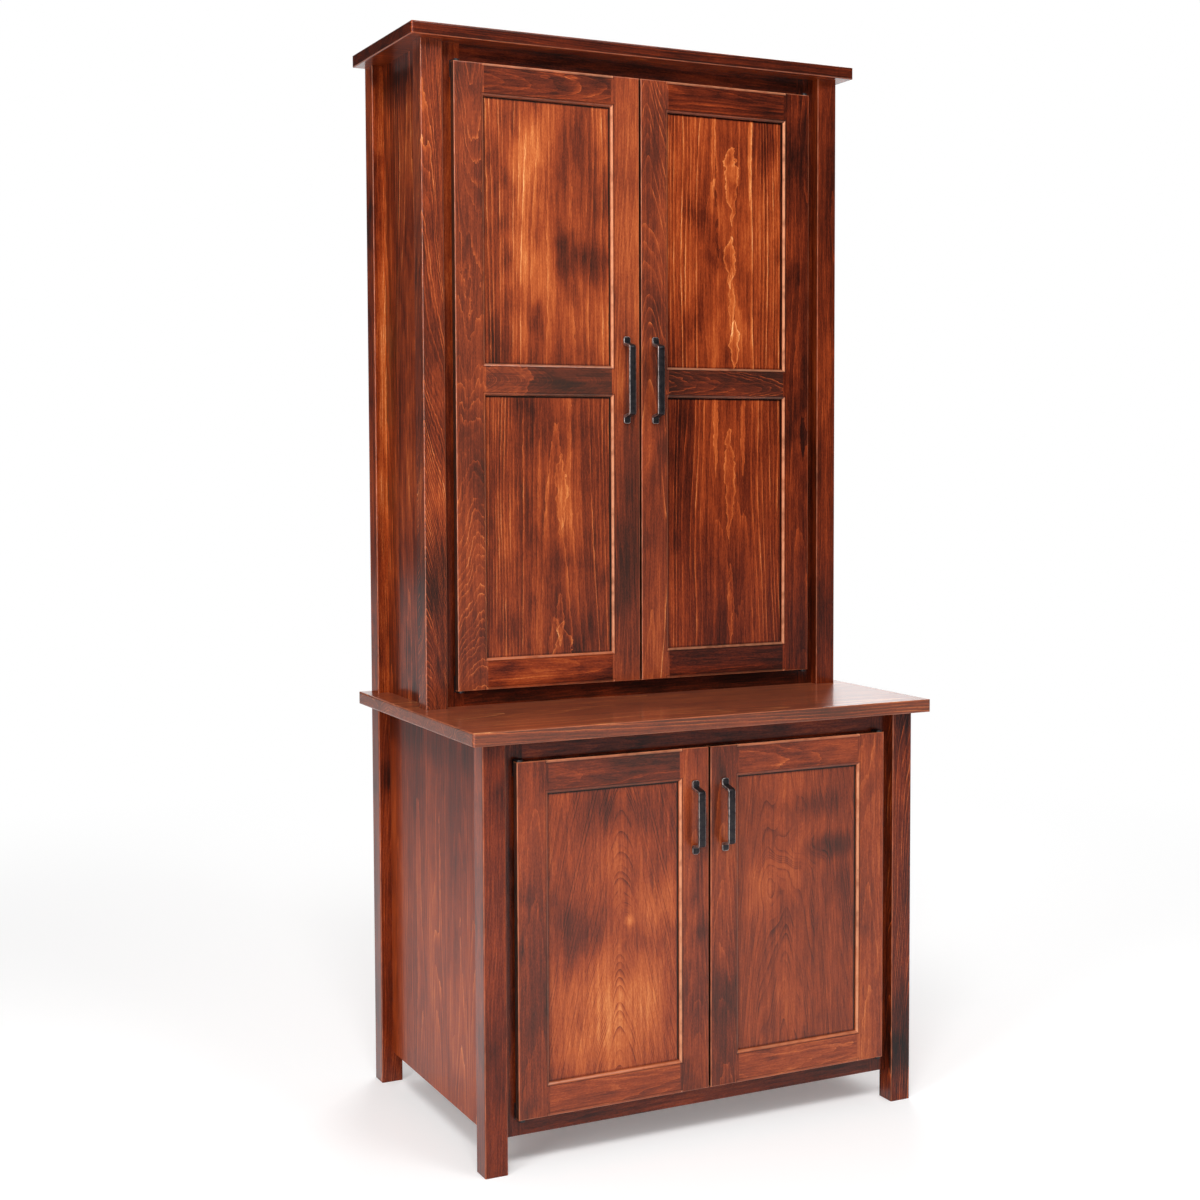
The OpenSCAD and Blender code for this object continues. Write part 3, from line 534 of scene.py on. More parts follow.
def wood(node, along, across, seed, tone=0.0, contrast=1.0, veil=0.0, gloss=0.3, coat=0.9,
         pitch=None, edges=None, rim=None, opening=None, bead=None, clouds=(), swells=(),
         flames=(), **special):
    """Stained maple for one node. pitch folds several boards onto one, edges is the box whose outer
    edges get a lighter band of wear and painted highlight.

    special says in what the figure differs from the plain board.
    """
    low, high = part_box(node)
    first = middle(low, high)
    material, w, place = start_finish("stained_" + node)
    number, board_seed = 0.0, float(seed)
    if pitch:
        letter, step, count = pitch
        axis = AXES[letter]
        first[axis] -= step * (count - 1) / 2
        steps = [1e6, 1e6, 1e6]
        steps[axis] = step
        from_first = w.vector("SUBTRACT", place, first)
        index = w.vector("FLOOR", w.vector("ADD", w.vector("DIVIDE", from_first, steps),
                                           (0.5, 0.5, 0.5)))
        own = w.vector("SUBTRACT", from_first, w.vector("MULTIPLY", index, steps))
        number = w.vector("DOT_PRODUCT", index, (1, 1, 1))
        board_seed = w.line(number, 11.3, board_seed)
    else:
        own = w.vector("SUBTRACT", place, first)
    parts = w.split(own)
    third = ({"X", "Y", "Z"} - {along, across}).pop()
    turned = w.join(parts[AXES[along]], parts[AXES[across]], parts[AXES[third]])
    board = w.node("ShaderNodeGroup", {"place": turned, "seed": board_seed}, node_tree=figure)
    for name, value in {**PLAIN_BOARD, **special}.items():
        w.feed(board.inputs[name], per_piece(w, number, value))
    if swells:
        w.feed(board.inputs["swell"],
               w.total(0.0, *[soft_patch(w, own, number, *patch) for patch in swells]))
    level = w.line(w.minus(board.outputs["Tone"], 0.5), contrast,
                   w.total(0.5, per_piece(w, number, tone)))
    for patch in clouds:
        level = w.total(level, soft_patch(w, own, number, *patch))
    for flame in flames:
        level = w.total(level, flame_shape(w, own, number, along, *flame))
    # Painted shade on the panel where it runs into its groove, strongest at the top and right
    if opening:
        beyond, share = round_opening(w, place, *opening, GROOVE_SHADE_BY_SIDE)
        level = w.total(level, w.times(w.step(beyond, -0.0042, -0.0012), share))
    # A darker band in the outermost millimetre: on the doors it is painted shade for the gap
    # between them, and on the tops it darkens their sides
    if rim:
        axes, amount = rim
        band = rim_band(w, place, *edges, axes)
        if axes == "XZ":
            # The front of a door stays clear of the band
            band = w.times(band, w.step(w.split(place)[1], low.y + 0.001, low.y + 0.002))
        level = w.total(level, w.times(band, amount))
    colour = w.colours(level, STAIN)
    if veil:
        colour = w.blend(per_piece(w, number, veil), colour, VEIL_GREY)
    # A lighter band along the outer edges: worn stain, and a painted highlight on the arrises
    if edges:
        patches = w.step(w.noise(place, 0.03), 0.35, 0.65, 0.35, 0.75)
        wear_and_highlight = w.times(edge_band(w, place, *edges), patches)
        colour = w.blend(wear_and_highlight, colour, WORN_AND_LIT_EDGE)
    # A painted highlight on the crest of the bead, strongest on the right and bottom, and a line of
    # painted shade in its quirk
    if bead:
        beyond, share = round_opening(w, place, *bead, BEAD_HIGHLIGHT_BY_SIDE)
        front = w.math("LESS_THAN", w.split(place)[1], low.y + BEAD_DEPTH)
        crest = w.times(w.step(beyond, 0.0, 0.0006), w.step(beyond, 0.005, 0.0032))
        streaks = w.step(w.noise(place, 0.02, 3), 0.28, 0.58, 0.45, 1.0)
        colour = w.blend(w.times(crest, front, streaks, share), colour, BEAD_HIGHLIGHT_COLOUR)
        quirk_shade = w.times(w.step(beyond, 0.0046, 0.0054), w.step(beyond, 0.0066, 0.0057))
        colour = w.blend(w.times(quirk_shade, front, 0.6), colour, QUIRK_SHADE_COLOUR)
    fibre = board.outputs["Fibre"]
    end_finish(w, colour, w.line(fibre, 0.16, gloss), fibre, 0.35, 0.0002,
               {"IOR": 1.45, "Specular IOR Level": 0.12, "Coat Weight": coat,
                "Coat Roughness": 0.15, "Coat IOR": 1.36})
    dress(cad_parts[node], material)
    wood_made.append(node)


print("Stain goes from", STAIN[0][1], "to", STAIN[-1][1])

# %% [markdown]
# The posts are the corner columns of both cabinets. Each is one thick stick, so it has one board
# and its rings run on round the corner. Their long rounded arrises get the lighter band of worn
# stain and painted highlight. The box of that band is longer than the post, so that the stain stays
# whole at its two ends.

# %% Posts
END_ROOM = 0.05
post_recipes = {
    "hutch_post_front_left": dict(
        seed=3, tone=-0.18, veil=0.05, heart_across=-0.075, lean=0.185, bend=-0.14, lines=1.0,
        wander=0.06, bands=1.1, cloudy=0.5, smoke=0.5, sharp=4.0, jag=2.0,
        clouds=[(0.0, 0.45, 0.06, 0.16, 0.12), (0.0, -0.22, 0.06, 0.06, 0.12),
                (0.0, -0.35, 0.06, 0.09, -0.12)]),
    "hutch_post_front_right": dict(
        seed=5, tone=-0.18, lean=0.01, contrast=0.9, lines=0.5, smoke=0.4,
        clouds=[(0.0, 0.0, 0.06, 0.2, 0.05), (0.0, -0.5, 0.06, 0.12, -0.06)]),
    "hutch_post_rear_left": dict(
        seed=8, tone=-0.13, lean=0.03, clouds=[(0.001, 0.0, 0.0125, 0.5, 0.26)]),
    "hutch_post_rear_right": dict(seed=13, tone=-0.05, lean=0.04),
    "base_post_front_left": dict(seed=43, tone=-0.07, lean=0.02, contrast=0.8, lines=0.6),
    "base_post_front_right": dict(seed=45, tone=-0.19, lean=0.06, lines=1.2),
    "base_post_rear_left": dict(seed=48, tone=-0.17, lean=0.03, contrast=0.8),
    "base_post_rear_right": dict(seed=53, tone=-0.06, lean=0.04),
}
post = dict(board_width=0.3, heart_across=0.03, heart_depth=0.055, ring=0.0035, wander=0.045,
            bands=0.5)
for name, recipe in post_recipes.items():
    low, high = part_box(name)
    sleeve = ([low.x, low.y, low.z - END_ROOM], [high.x, high.y, high.z + END_ROOM])
    wood(name, "Z", "X", edges=sleeve, **{**post, **recipe})
print("Posts dressed:", len(wood_made))

# %% [markdown]
# The side panels and the two tops are glued up from boards about a hand wide, with the grain of all
# of them running the same way. The side panels stand upright in grooves of the posts. The tops run
# from left to right and have eased edges.

# %% Side panels and tops
# A dark cloud lies near the top of each side panel. On the hutch it is the painted shadow of the
# top's overhang.
side_recipes = {
    "base": (21, dict(tone=0.02, contrast=0.7, coat=0.35,
                      clouds=[(0.0, 0.31, 1.0, 0.04, -0.16), (0.0, 0.2, 1.0, 0.16, -0.1)])),
    "hutch": (27, dict(tone=-0.12, contrast=1.3, clouds=[(0.0, 0.56, 1.0, 0.04, -0.22)])),
}
for part, (seed, recipe) in side_recipes.items():
    for side, more in (("left", 0), ("right", 2)):
        wood(part + "_side_" + side, "Z", "Y", seed + more, board_width=0.105, heart_depth=0.08,
             lean=0.02, ring=0.005, wander=0.03, lines=0.7, smoke=0.5, swing=-0.35, **recipe)
for name, seed, tone, veil, rim in (("base_top", 31, 0.08, 0.18, -0.15),
                                    ("hutch_top", 34, -0.08, 0.0, -0.2)):
    wood(name, "X", "Y", seed, tone=tone, veil=veil, contrast=0.8, board_width=0.125,
         heart_depth=0.07, cloudy=0.5, smoke=0.5, lean=0.02, ring=0.005, wander=0.035,
         swing=-0.35, edges=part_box(name), rim=("XY", rim))
print("Wooden nodes so far:", len(wood_made))

# %% [markdown]
# Behind the doors lies the face frame in its recess. Its stain is painted darker, as the shade of
# the recess. The rails of the hutch are darker still, for the shadow that the top casts on the
# upper one. The left stile of the hutch is painted lighter at its top and darker at its bottom, as
# light falls into the recess. Inside are plainer boards of the same maple, with a thinner stain:
# backs, floors, shelves and the cleats under the tops.

# %% Face frames and inside boards
# Painted light on the hutch's left frame stile: lighter at its top, darker at its bottom
hutch_stile_painted_light = dict(tone=-0.1, clouds=[(0.0, 0.45, 0.06, 0.22, 0.12),
                                            (0.0, -0.35, 0.06, 0.22, -0.12)])
for part, seed, left_stile, rail_tone in (("base", 51, {}, -0.14),
                                          ("hutch", 57, hutch_stile_painted_light, -0.29)):
    plan = dict(board_width=0.2, bands=0.3, tone=-0.2, heart_depth=0.05, ring=0.0035,
                wander=0.02, lines=0.15, smoke=0.5)
    wood(part + "_frame_stile_left", "Z", "X", seed, **{**plan, **left_stile})
    wood(part + "_frame_stile_right", "Z", "X", seed + 1, **plan)
    # The rails' tone, lower on the hutch by painted shadow from its top
    plan["tone"] = rail_tone
    wood(part + "_frame_rail_top", "X", "Z", seed + 3, **plan)
    wood(part + "_frame_rail_bottom", "X", "Z", seed + 4, **plan)
# Each inside node with the axes along and across its grain, and the width of its boards
inside = (("base_back", "ZX", 0.14), ("hutch_back", "ZX", 0.13),
          ("base_floor", "XY", 0.12), ("hutch_floor", "XY", 0.12), ("base_shelf", "XY", 0.11),
          ("hutch_shelf_lower", "XY", 0.11), ("hutch_shelf_middle", "XY", 0.11),
          ("hutch_shelf_upper", "XY", 0.11),
          ("base_cleats", "XY", 0.2), ("hutch_cleats", "XY", 0.2))
for seed, (name, axes, width) in enumerate(inside, 61):
    wood(name, *axes, seed, tone=0.02, contrast=0.8, board_width=width, heart_depth=0.06,
         ring=0.005, wander=0.03, swing=-0.35, gloss=0.38)
print("Wooden nodes so far:", len(wood_made))

# %% [markdown]
# The doors are what one sees first. Each is a frame of stiles and rails round flat panels, with a
# small bead along the inner edge. Stiles and panels have upright grain and rails have grain across,
# so the light meets each at another angle of its fibres. The panels are wide boards cut near the
# heart, which gives them their flames.
# A list holds one value for each board of a node: stiles from left to right, rails and panels from
# the bottom up. A cloud or flame names its place and half its size in X and Z, its strength and,
# where the node has several boards, which board it lies on.

# %% Doors
DOORS = ("hutch_left_door", "hutch_right_door", "base_left_door", "base_right_door")
MEMBER = 0.058
door_boards = {
    "hutch_left_door_stiles": dict(
        seed=101, tone=[-0.06, -0.03], heart_across=[0.008, 0.05], heart_depth=[0.06, 0.12],
        lean=[0.064, 0.006], bend=[-0.16, 0.0], ring=0.0032, lines=[0.95, 0.3], smoke=[0.6, 0.3],
        jag=[2.2, 0.5], wander=[0.045, 0.026], veil=[0.08, 0.07],
        # The second cloud is a painted reflection of the pull, lighter, left of its bar
        clouds=[(0.0, -0.3, 0.06, 0.22, -0.24, 1), (-0.012, 0.003, 0.01, 0.07, 0.1, 1)]),
    "hutch_left_door_rails": dict(
        seed=105, tone=[0.0, -0.17, -0.08], lean=[0.02, 0.44, 0.05], lines=[0.6, 0.6, 0.8],
        ring=[0.0036, 0.0021, 0.003], heart_depth=[0.07, 0.03, 0.05], bands=[0.5, 0.7, 0.6],
        jag=0.6, smoke=[1.0, 0.4, 0.8], veil=[0.0, 0.1, 0.045],
        clouds=[(-0.085, 0.0, 0.05, 0.05, 0.12, 1), (0.07, -0.012, 0.04, 0.02, 0.12, 2)],
        flames=[(-0.09, 0.0, 0.056, 0.05, 0.24, 1), (-0.007, 0.015, 0.011, 0.003, 0.18, 2),
                (0.02, 0.022, 0.013, 0.003, 0.16, 2), (0.046, 0.019, 0.014, 0.0034, 0.2, 2)]),
    "hutch_left_door_panels": dict(
        seed=111, tone=[-0.09, 0.04], veil=[0.05, 0.055], heart_across=[0.02, 0.03],
        lean=[0.012, 0.006],
        flames=[(0.027, -0.225, 0.018, 0.05, 0.36, 0, -0.5),
                (0.021, -0.175, 0.007, 0.05, 0.3, 0), (0.024, 0.055, 0.011, 0.08, 0.2, 0, 0.5)],
        clouds=[(-0.035, 0.02, 0.045, 0.3, 0.16, 1), (0.1, -0.05, 0.045, 0.035, -0.22, 1),
                (0.06, 0.16, 0.04, 0.09, -0.1, 1), (0.0, -0.23, 0.12, 0.05, -0.12, 1),
                (-0.09, -0.19, 0.05, 0.08, -0.12, 1), (0.04, 0.06, 0.02, 0.14, 0.2, 0),
                (0.09, -0.05, 0.03, 0.22, -0.06, 0), (0.06, -0.21, 0.05, 0.05, -0.12, 0),
                (-0.02, 0.18, 0.09, 0.05, -0.08, 0)]),
    "hutch_right_door_stiles": dict(
        seed=121, tone=[-0.1, -0.17], heart_across=[-0.006, 0.04], veil=[0.06, 0.0],
        heart_depth=[0.13, 0.1], lean=[0.045, 0.006], bend=[0.055, 0.0], ring=[0.0022, 0.0036],
        lines=[1.1, 0.3], bands=[0.25, 0.5], jag=[0.3, 0.6], smoke=[0.8, 0.8],
        # The second cloud is a painted reflection of the pull, lighter, left of its bar
        clouds=[(0.0, -0.45, 0.06, 0.1, 0.06, 0), (-0.01, 0.003, 0.01, 0.07, 0.1, 0)]),
    "hutch_right_door_rails": dict(
        seed=125, tone=[-0.22, -0.37, -0.14], lean=[0.02, 0.13, 0.03], lines=[0.5, 1.3, 0.6],
        jag=[0.6, 2.4, 0.6], heart_depth=[0.07, 0.045, 0.07], wander=[0.026, 0.05, 0.026],
        veil=[0.0, 0.037, 0.0], clouds=[(0.0, -0.016, 0.12, 0.012, 0.08, 1)]),
    "hutch_right_door_panels": dict(
        seed=131, tone=[-0.16, 0.0], smoke=[0.3, 0.9], heart_across=[0.01, 0.0],
        lean=[0.01, 0.004], jag=0.6,
        flames=[(0.014, 0.11, 0.013, 0.08, 0.34, 1, 0.7),
                (0.012, -0.035, 0.0115, 0.05, 0.34, 1, 0.4),
                (0.014, -0.11, 0.006, 0.065, 0.26, 1), (0.021, -0.195, 0.01, 0.05, 0.36, 1),
                (-0.025, 0.19, 0.0045, 0.11, 0.2, 1), (0.055, 0.18, 0.0045, 0.1, 0.22, 1),
                (-0.02, 0.195, 0.0049, 0.11, 0.24, 0), (0.04, 0.19, 0.0049, 0.11, 0.24, 0),
                (0.01, 0.07, 0.011, 0.11, 0.3, 0, 0.5),
                (0.012, -0.16, 0.006, 0.08, 0.26, 0)],
        clouds=[(0.0, 0.0, 0.1, 0.2, 0.05, 1), (-0.02, -0.2, 0.1, 0.05, -0.06, 0),
                (0.01, 0.08, 0.022, 0.16, 0.06, 0), (-0.11, 0.18, 0.03, 0.08, -0.08, 0)]),
    "base_left_door_stiles": dict(seed=141, tone=[-0.09, -0.04], lines=0.4),
    "base_left_door_rails": dict(seed=145, tone=[0.0, -0.17], lines=0.6),
    "base_left_door_panel": dict(
        seed=151, tone=0.02, veil=0.05, heart_across=0.012, heart_depth=0.022, lean=0.24,
        bend=0.05, ring=0.0028, lines=-1.0, bands=0.25, wander=0.03,
        swells=[(0.027, 0.012, 0.02, 0.03, -0.016)],
        clouds=[(0.085, 0.03, 0.05, 0.05, 0.16), (-0.07, 0.0, 0.05, 0.05, -0.15),
                (0.02, -0.14, 0.12, 0.11, 0.23), (-0.08, -0.2, 0.05, 0.05, 0.1),
                (0.0, 0.2, 0.14, 0.04, -0.1), (0.03, 0.012, 0.01, 0.01, 0.2)]),
    "base_right_door_stiles": dict(
        seed=161, tone=[-0.12, 0.04], lines=0.5,
        clouds=[(-0.01, -0.16, 0.02, 0.06, -0.18, 0), (0.01, 0.12, 0.03, 0.1, 0.1, 0)]),
    "base_right_door_rails": dict(seed=165, tone=[-0.04, -0.08], lines=0.6),
    "base_right_door_panel": dict(
        seed=171, tone=0.0, veil=0.06, heart_across=-0.03, heart_depth=0.03, lean=0.16,
        ring=0.0034, lines=-0.85, bands=0.3, wander=0.06,
        swells=[(0.012, 0.11, 0.05, 0.03, 0.03), (-0.06, 0.05, 0.03, 0.04, -0.02)],
        clouds=[(0.08, 0.105, 0.05, 0.022, -0.24), (0.04, 0.185, 0.06, 0.022, -0.14),
                (-0.06, 0.045, 0.05, 0.05, 0.12), (0.09, 0.04, 0.03, 0.04, -0.1),
                (-0.03, -0.12, 0.07, 0.08, 0.02), (0.07, -0.16, 0.05, 0.06, 0.06)]),
}
for door in DOORS:
    low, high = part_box(door + "_stiles")
    hutch = door.startswith("hutch")
    rail_count = 3 if hutch else 2
    rail_pitch = (high.z - low.z - MEMBER) / (rail_count - 1)
    stile_pitch = high.x - low.x - MEMBER
    opening = ((low.x + high.x) / 2, low.z + (rail_pitch + MEMBER) / 2,
               (high.x - low.x) / 2 - MEMBER, (rail_pitch - MEMBER) / 2, rail_pitch)
    # From the opening, the bead gets its painted highlight and quirk shade and the panel its
    # painted shade along the groove. rim paints the outermost millimetre of the door's edges nearly
    # black, as shade in the gap between the doors.
    common = dict(edges=(list(low), list(high)), ring=0.0036, wander=0.026, board_width=0.3,
                  bands=0.5, bead=opening, rim=("XZ", -0.34))
    panel = dict(board_width=0.5, heart_depth=0.14, lean=0.01, ring=0.0042, wander=0.016, lines=1.1,
                 opening=opening)
    if not hutch:
        common.update(veil=0.06, contrast=0.9)
        panel.update(smoke=0.6, contrast=0.85, sharp=2.0, cloudy=0.7, jag=0.4)
    for name, along, across, pitch, plan in (
            (door + "_stiles", "Z", "X", ("X", stile_pitch, 2), common),
            (door + "_rails", "X", "Z", ("Z", rail_pitch, rail_count), common),
            (door + "_panels", "Z", "X", ("Z", rail_pitch, 2), panel) if hutch
            else (door + "_panel", "Z", "X", None, panel)):
        wood(name, along, across, pitch=pitch, **{**plan, **door_boards[name]})
print("Wooden nodes in all:", len(wood_made))

# %% [markdown]
# Small hardware repeats: the screws and the pins under the shelves. The construction model holds
# them as plain round solids. The next cells read the place, direction and size of each solid from
# its mesh, turn them into points that carry these values, and let Geometry Nodes put a detailed
# shape on every point. Where the solids move, the detailed ones follow.


# %% Read the round solids
def one_skin(node):
    """The mesh of a node as a bmesh whose triangles share their corners."""
    bm = bmesh.new()
    bm.from_mesh(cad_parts[node].data)
    bmesh.ops.remove_doubles(bm, verts=bm.verts, dist=1e-6)
    return bm


def solids_of(node):
    """The points of each separate solid of a node."""
    bm = one_skin(node)
    bm.verts.ensure_lookup_table()
    found, seen = [], set()
    for vert in bm.verts:
        if vert.index in seen:
            continue
        seen.add(vert.index)
        group, queue = [], [vert]
        while queue:
            one = queue.pop()
            group.append(one.co[:])
            for edge in one.link_edges:
                other = edge.other_vert(one)
                if other.index not in seen:
                    seen.add(other.index)
                    queue.append(other)
        found.append(np.array(group))
    bm.free()
    return found


def round_sizes(points):
    """Head place, direction and sizes of a screw or pin, from the points of its solid."""
    low, high = points.min(0), points.max(0)
    axis = int(np.argmax(high - low))
    centre = (low + high) / 2
    others = [i for i in range(3) if i != axis]
    off = np.linalg.norm(points[:, others] - centre[others], axis=1)
    widest = points[off > off.max() * 0.98, axis]
    head_low, head_high = widest.min(), widest.max()
    from_top = high[axis] - head_high < head_low - low[axis]
    aim = np.zeros(3)
    aim[axis] = -1.0 if from_top else 1.0
    head = centre.copy()
    head[axis] = head_high if from_top else head_low
    return dict(head=head, aim=aim, head_r=off.max(), head_t=head_high - head_low,
                shank_r=off.min(), length=high[axis] - low[axis])


def all_sizes(node):
    return [round_sizes(points) for points in solids_of(node)]


head_radii = [1000 * float(s["head_r"]) for s in all_sizes("wood_screws")]
print(len(head_radii), "screws, heads from", round(min(head_radii), 2), "to",
      round(max(head_radii), 2), "mm in radius")

# %% [markdown]
# A screw is a head with a cross recess on a shank with a winding thread. The tree builds one head
# and one shank of unit size. Each point carries two scales and a direction, so screws of all sizes
# come out of the same tree. The thread is a ridge that climbs one turn for each turn round the
# shank, which is a sawtooth of height minus angle. The shank starts inside the head, below the
# recess, so that it doesn't fill the cross.


# %% The screw tree
def start_tree(name, numbers):
    """A tree on points with named numbers and a metal as inputs, and the names of its inputs."""
    tree = bpy.data.node_groups.new(name, "GeometryNodeTree")
    called = {}
    for label in ("Points", *numbers, "Metal"):
        kind = {"Points": "Geometry", "Metal": "Material"}.get(label, "Float")
        socket = tree.interface.new_socket(label, in_out="INPUT", socket_type="NodeSocket" + kind)
        if label in numbers:
            socket.default_value = numbers[label]
        called[label] = socket.identifier
    tree.interface.new_socket("Copies", in_out="OUTPUT", socket_type="NodeSocketGeometry")
    w = Wiring(tree)
    return tree, called, w, w.node("NodeGroupInput").outputs


def end_tree(w, copies, metal):
    real = w.node("GeometryNodeRealizeInstances", {"Geometry": copies})
    plated = w.node("GeometryNodeSetMaterial", {"Geometry": real.outputs[0], "Material": metal})
    w.node("NodeGroupOutput", {"Copies": plated.outputs[0]})


def carried(w, name):
    made = w.node("GeometryNodeInputNamedAttribute", data_type="FLOAT_VECTOR")
    made.inputs["Name"].default_value = name
    return made.outputs["Attribute"]


def place_on_points(w, points, shape, size):
    """One copy of a shape on every point, turned to its aim and scaled by the size it carries."""
    turned = w.node("FunctionNodeAlignRotationToVector", {"Vector": carried(w, "aim")}, axis="Z")
    return w.node("GeometryNodeInstanceOnPoints", {
        "Points": points, "Instance": shape,
        "Rotation": turned.outputs[0], "Scale": carried(w, size)}).outputs[0]


def unit_cylinder(w, around, rings):
    """A cylinder of radius and height 1 about the origin, and the place on it in three numbers."""
    made = w.node("GeometryNodeMeshCylinder", {"Vertices": around, "Side Segments": rings,
                                               "Radius": 1.0, "Depth": 1.0})
    place = w.node("GeometryNodeInputPosition").outputs[0]
    return made.outputs["Mesh"], place, w.split(place)


def moved(w, shape, place):
    return w.node("GeometryNodeSetPosition", {"Geometry": shape, "Position": place}).outputs[0]


def stood_up(w, shape):
    """A unit shape moved up, so that it starts at the origin."""
    return w.node("GeometryNodeTransform", {"Geometry": shape,
                                            "Translation": (0, 0, 0.5)}).outputs[0]


SCREW_NUMBERS = {"Turns": 11.0, "Thread depth": 0.22, "Recess width": 0.24}
screw_tree, screw_inputs, w, given = start_tree("screws", SCREW_NUMBERS)

# Head: a short drum whose outer rim is drawn in, with a cross cut into it. The two arms are cut one
# after the other and differ a little in depth, so that no two faces coincide.
RIM_SHRINK = -0.16
ARM_LENGTH = 1.15
drum, _, (x, y, z) = unit_cylinder(w, 24, 4)
drawn_in = w.line(w.math("LESS_THAN", z, -0.4), RIM_SHRINK, 1.0)
head = moved(w, drum, w.join(w.times(x, drawn_in), w.times(y, drawn_in), w.total(z, 0.5)))
wide = given["Recess width"]
for size in (w.join(ARM_LENGTH, wide, 1.1), w.join(wide, ARM_LENGTH, 1.04)):
    arm = w.node("GeometryNodeMeshCube", {"Size": size})
    cut = w.node("GeometryNodeMeshBoolean", {"Mesh 1": head}, operation="DIFFERENCE")
    w.tree.links.new(arm.outputs["Mesh"], cut.inputs["Mesh 2"])
    head = cut.outputs["Mesh"]

# Shank: a tube of rings whose radius follows the sawtooth of the thread
tube, spot, (x, y, z) = unit_cylinder(w, 12, 44)
turn = w.math("DIVIDE", w.math("ARCTAN2", y, x), 2 * math.pi)
climb = w.math("FRACT", w.minus(w.times(w.total(z, 0.5), given["Turns"]), turn))
ridge = w.math("ABSOLUTE", w.minus(climb, 0.5))
point_end = w.math("MINIMUM", 1.0, w.times(w.minus(0.5, z), 7.0))
thin = w.times(w.minus(1.0, w.times(ridge, w.times(given["Thread depth"], 2.0))),
               w.math("MAXIMUM", point_end, 0.25))
shank = stood_up(w, moved(w, tube, w.vector("MULTIPLY", spot, w.join(thin, thin, 1))))

# One head and one shank on every point
heads = place_on_points(w, given["Points"], head, "head_size")
under = w.node("GeometryNodeSetPosition", {"Geometry": given["Points"],
                                           "Offset": carried(w, "shank_start")})
shanks = place_on_points(w, under.outputs[0], shank, "shank_size")
together = w.node("GeometryNodeJoinGeometry")
w.tree.links.new(heads, together.inputs[0])
w.tree.links.new(shanks, together.inputs[0])
end_tree(w, together.outputs[0], given["Metal"])
print("Screw tree made of", len(screw_tree.nodes), "nodes")

# %% [markdown]
# A shelf pin is a plain rod with a chamfer at both ends, so that it goes into its hole easily. One
# unit cylinder with rings along it is enough: the rings at the two ends are drawn in.

# %% The pin tree
PIN_NUMBERS = {"Chamfer": 0.3}
pin_tree, pin_inputs, w, given = start_tree("pins", PIN_NUMBERS)
rod, spot, (x, y, z) = unit_cylinder(w, 24, 24)
at_end = w.math("GREATER_THAN", w.math("ABSOLUTE", z), 0.49)
thin = w.minus(1.0, w.times(at_end, given["Chamfer"]))
rod = stood_up(w, moved(w, rod, w.vector("MULTIPLY", spot, w.join(thin, thin, 1))))
end_tree(w, place_on_points(w, given["Points"], rod, "size"), given["Metal"])
print("Pin tree made of", len(pin_tree.nodes), "nodes")

# %% [markdown]
# Screws and pins are zinc-plated steel: light grey with a faint yellowish bloom in patches, and
# soft scratches. The pulls, the pivot brackets and their pins are dark oil-rubbed bronze, nearly
# black. On the pulls the edges are brighter, worn by hands and with a painted highlight, and the
# narrow sides of the strap carry a painted sheen.


# %% Metals
def metal(name, stops, roughness, spread, worn_and_lit=None, patch=0.006):
    material, w, place = start_finish(name)
    bloom = w.noise(place, patch, 3.0, 0.6)
    grain = w.noise(place, (0.0004, 0.0004, 0.0016), 2.0, 0.6)
    colour = w.colours(w.line(w.minus(grain, 0.5), 0.5, bloom), stops)
    rough = w.line(bloom, spread, roughness)
    if worn_and_lit:
        # Brighter metal where the mesh marks it: worn edges with a painted highlight, and painted
        # sheen on the narrow sides of a pull
        rub_and_sheen = w.node("ShaderNodeAttribute", attribute_name="rubbed").outputs["Fac"]
        amount = w.times(rub_and_sheen, w.step(bloom, 0.3, 0.62, 0.25, 1.0))
        colour = w.blend(amount, colour, worn_and_lit)
        rough = w.minus(rough, w.times(amount, 0.1))
    end_finish(w, colour, rough, grain, 0.25, 0.0001, {"Metallic": 0.9})
    return material


zinc = metal("zinc_plate", [(0.25, paint(150, 148, 140)), (0.55, paint(186, 184, 176)),
                            (0.8, paint(198, 190, 164))], 0.26, 0.2)
bronze = metal("oil_rubbed_bronze", [(0.2, paint(40, 37, 40)), (0.5, paint(60, 57, 60)),
                                     (0.8, paint(78, 71, 70))], 0.3, 0.22,
               worn_and_lit=paint(205, 196, 192), patch=0.009)
dull_zinc = metal("dull_zinc_plate", [(0.25, paint(88, 86, 82)), (0.55, paint(108, 106, 101)),
                                      (0.8, paint(122, 117, 104))], 0.42, 0.2)
print("Metals:", zinc.name, dull_zinc.name, bronze.name)

# %% [markdown]
# A tree runs as a modifier on a mesh of points that carry the values by name. Its inputs are set
# before it is first evaluated, and the result is kept as a plain mesh. Each body of the cabinet
# gets a mesh of its own, so that the screws of a pull turn with their door.


# %% Put the screws and pins on their points
def make_repeated(name, tree, inputs, sizes, values, numbers):
    """Runs a tree on the heads of round solids and returns the result as a plain mesh object."""
    mesh = bpy.data.meshes.new(name + "_points")
    mesh.from_pydata([tuple(s["head"]) for s in sizes], [], [])
    for label, rows in {"aim": [s["aim"] for s in sizes], **values}.items():
        layer = mesh.attributes.new(label, "FLOAT_VECTOR", "POINT")
        layer.data.foreach_set("vector", np.array(rows, np.float32).ravel())
    holder = add_object(name + "_points", mesh)
    modifier = holder.modifiers.new("repeat", "NODES")
    modifier.node_group = tree
    for label, value in {**numbers, "Metal": zinc}.items():
        modifier[inputs[label]] = value
    ready = holder.evaluated_get(bpy.context.evaluated_depsgraph_get())
    result = bpy.data.meshes.new_from_object(ready)
    result.name = name
    holder.modifiers.remove(modifier)
    bpy.data.objects.remove(holder)
    return add_object(name, result)


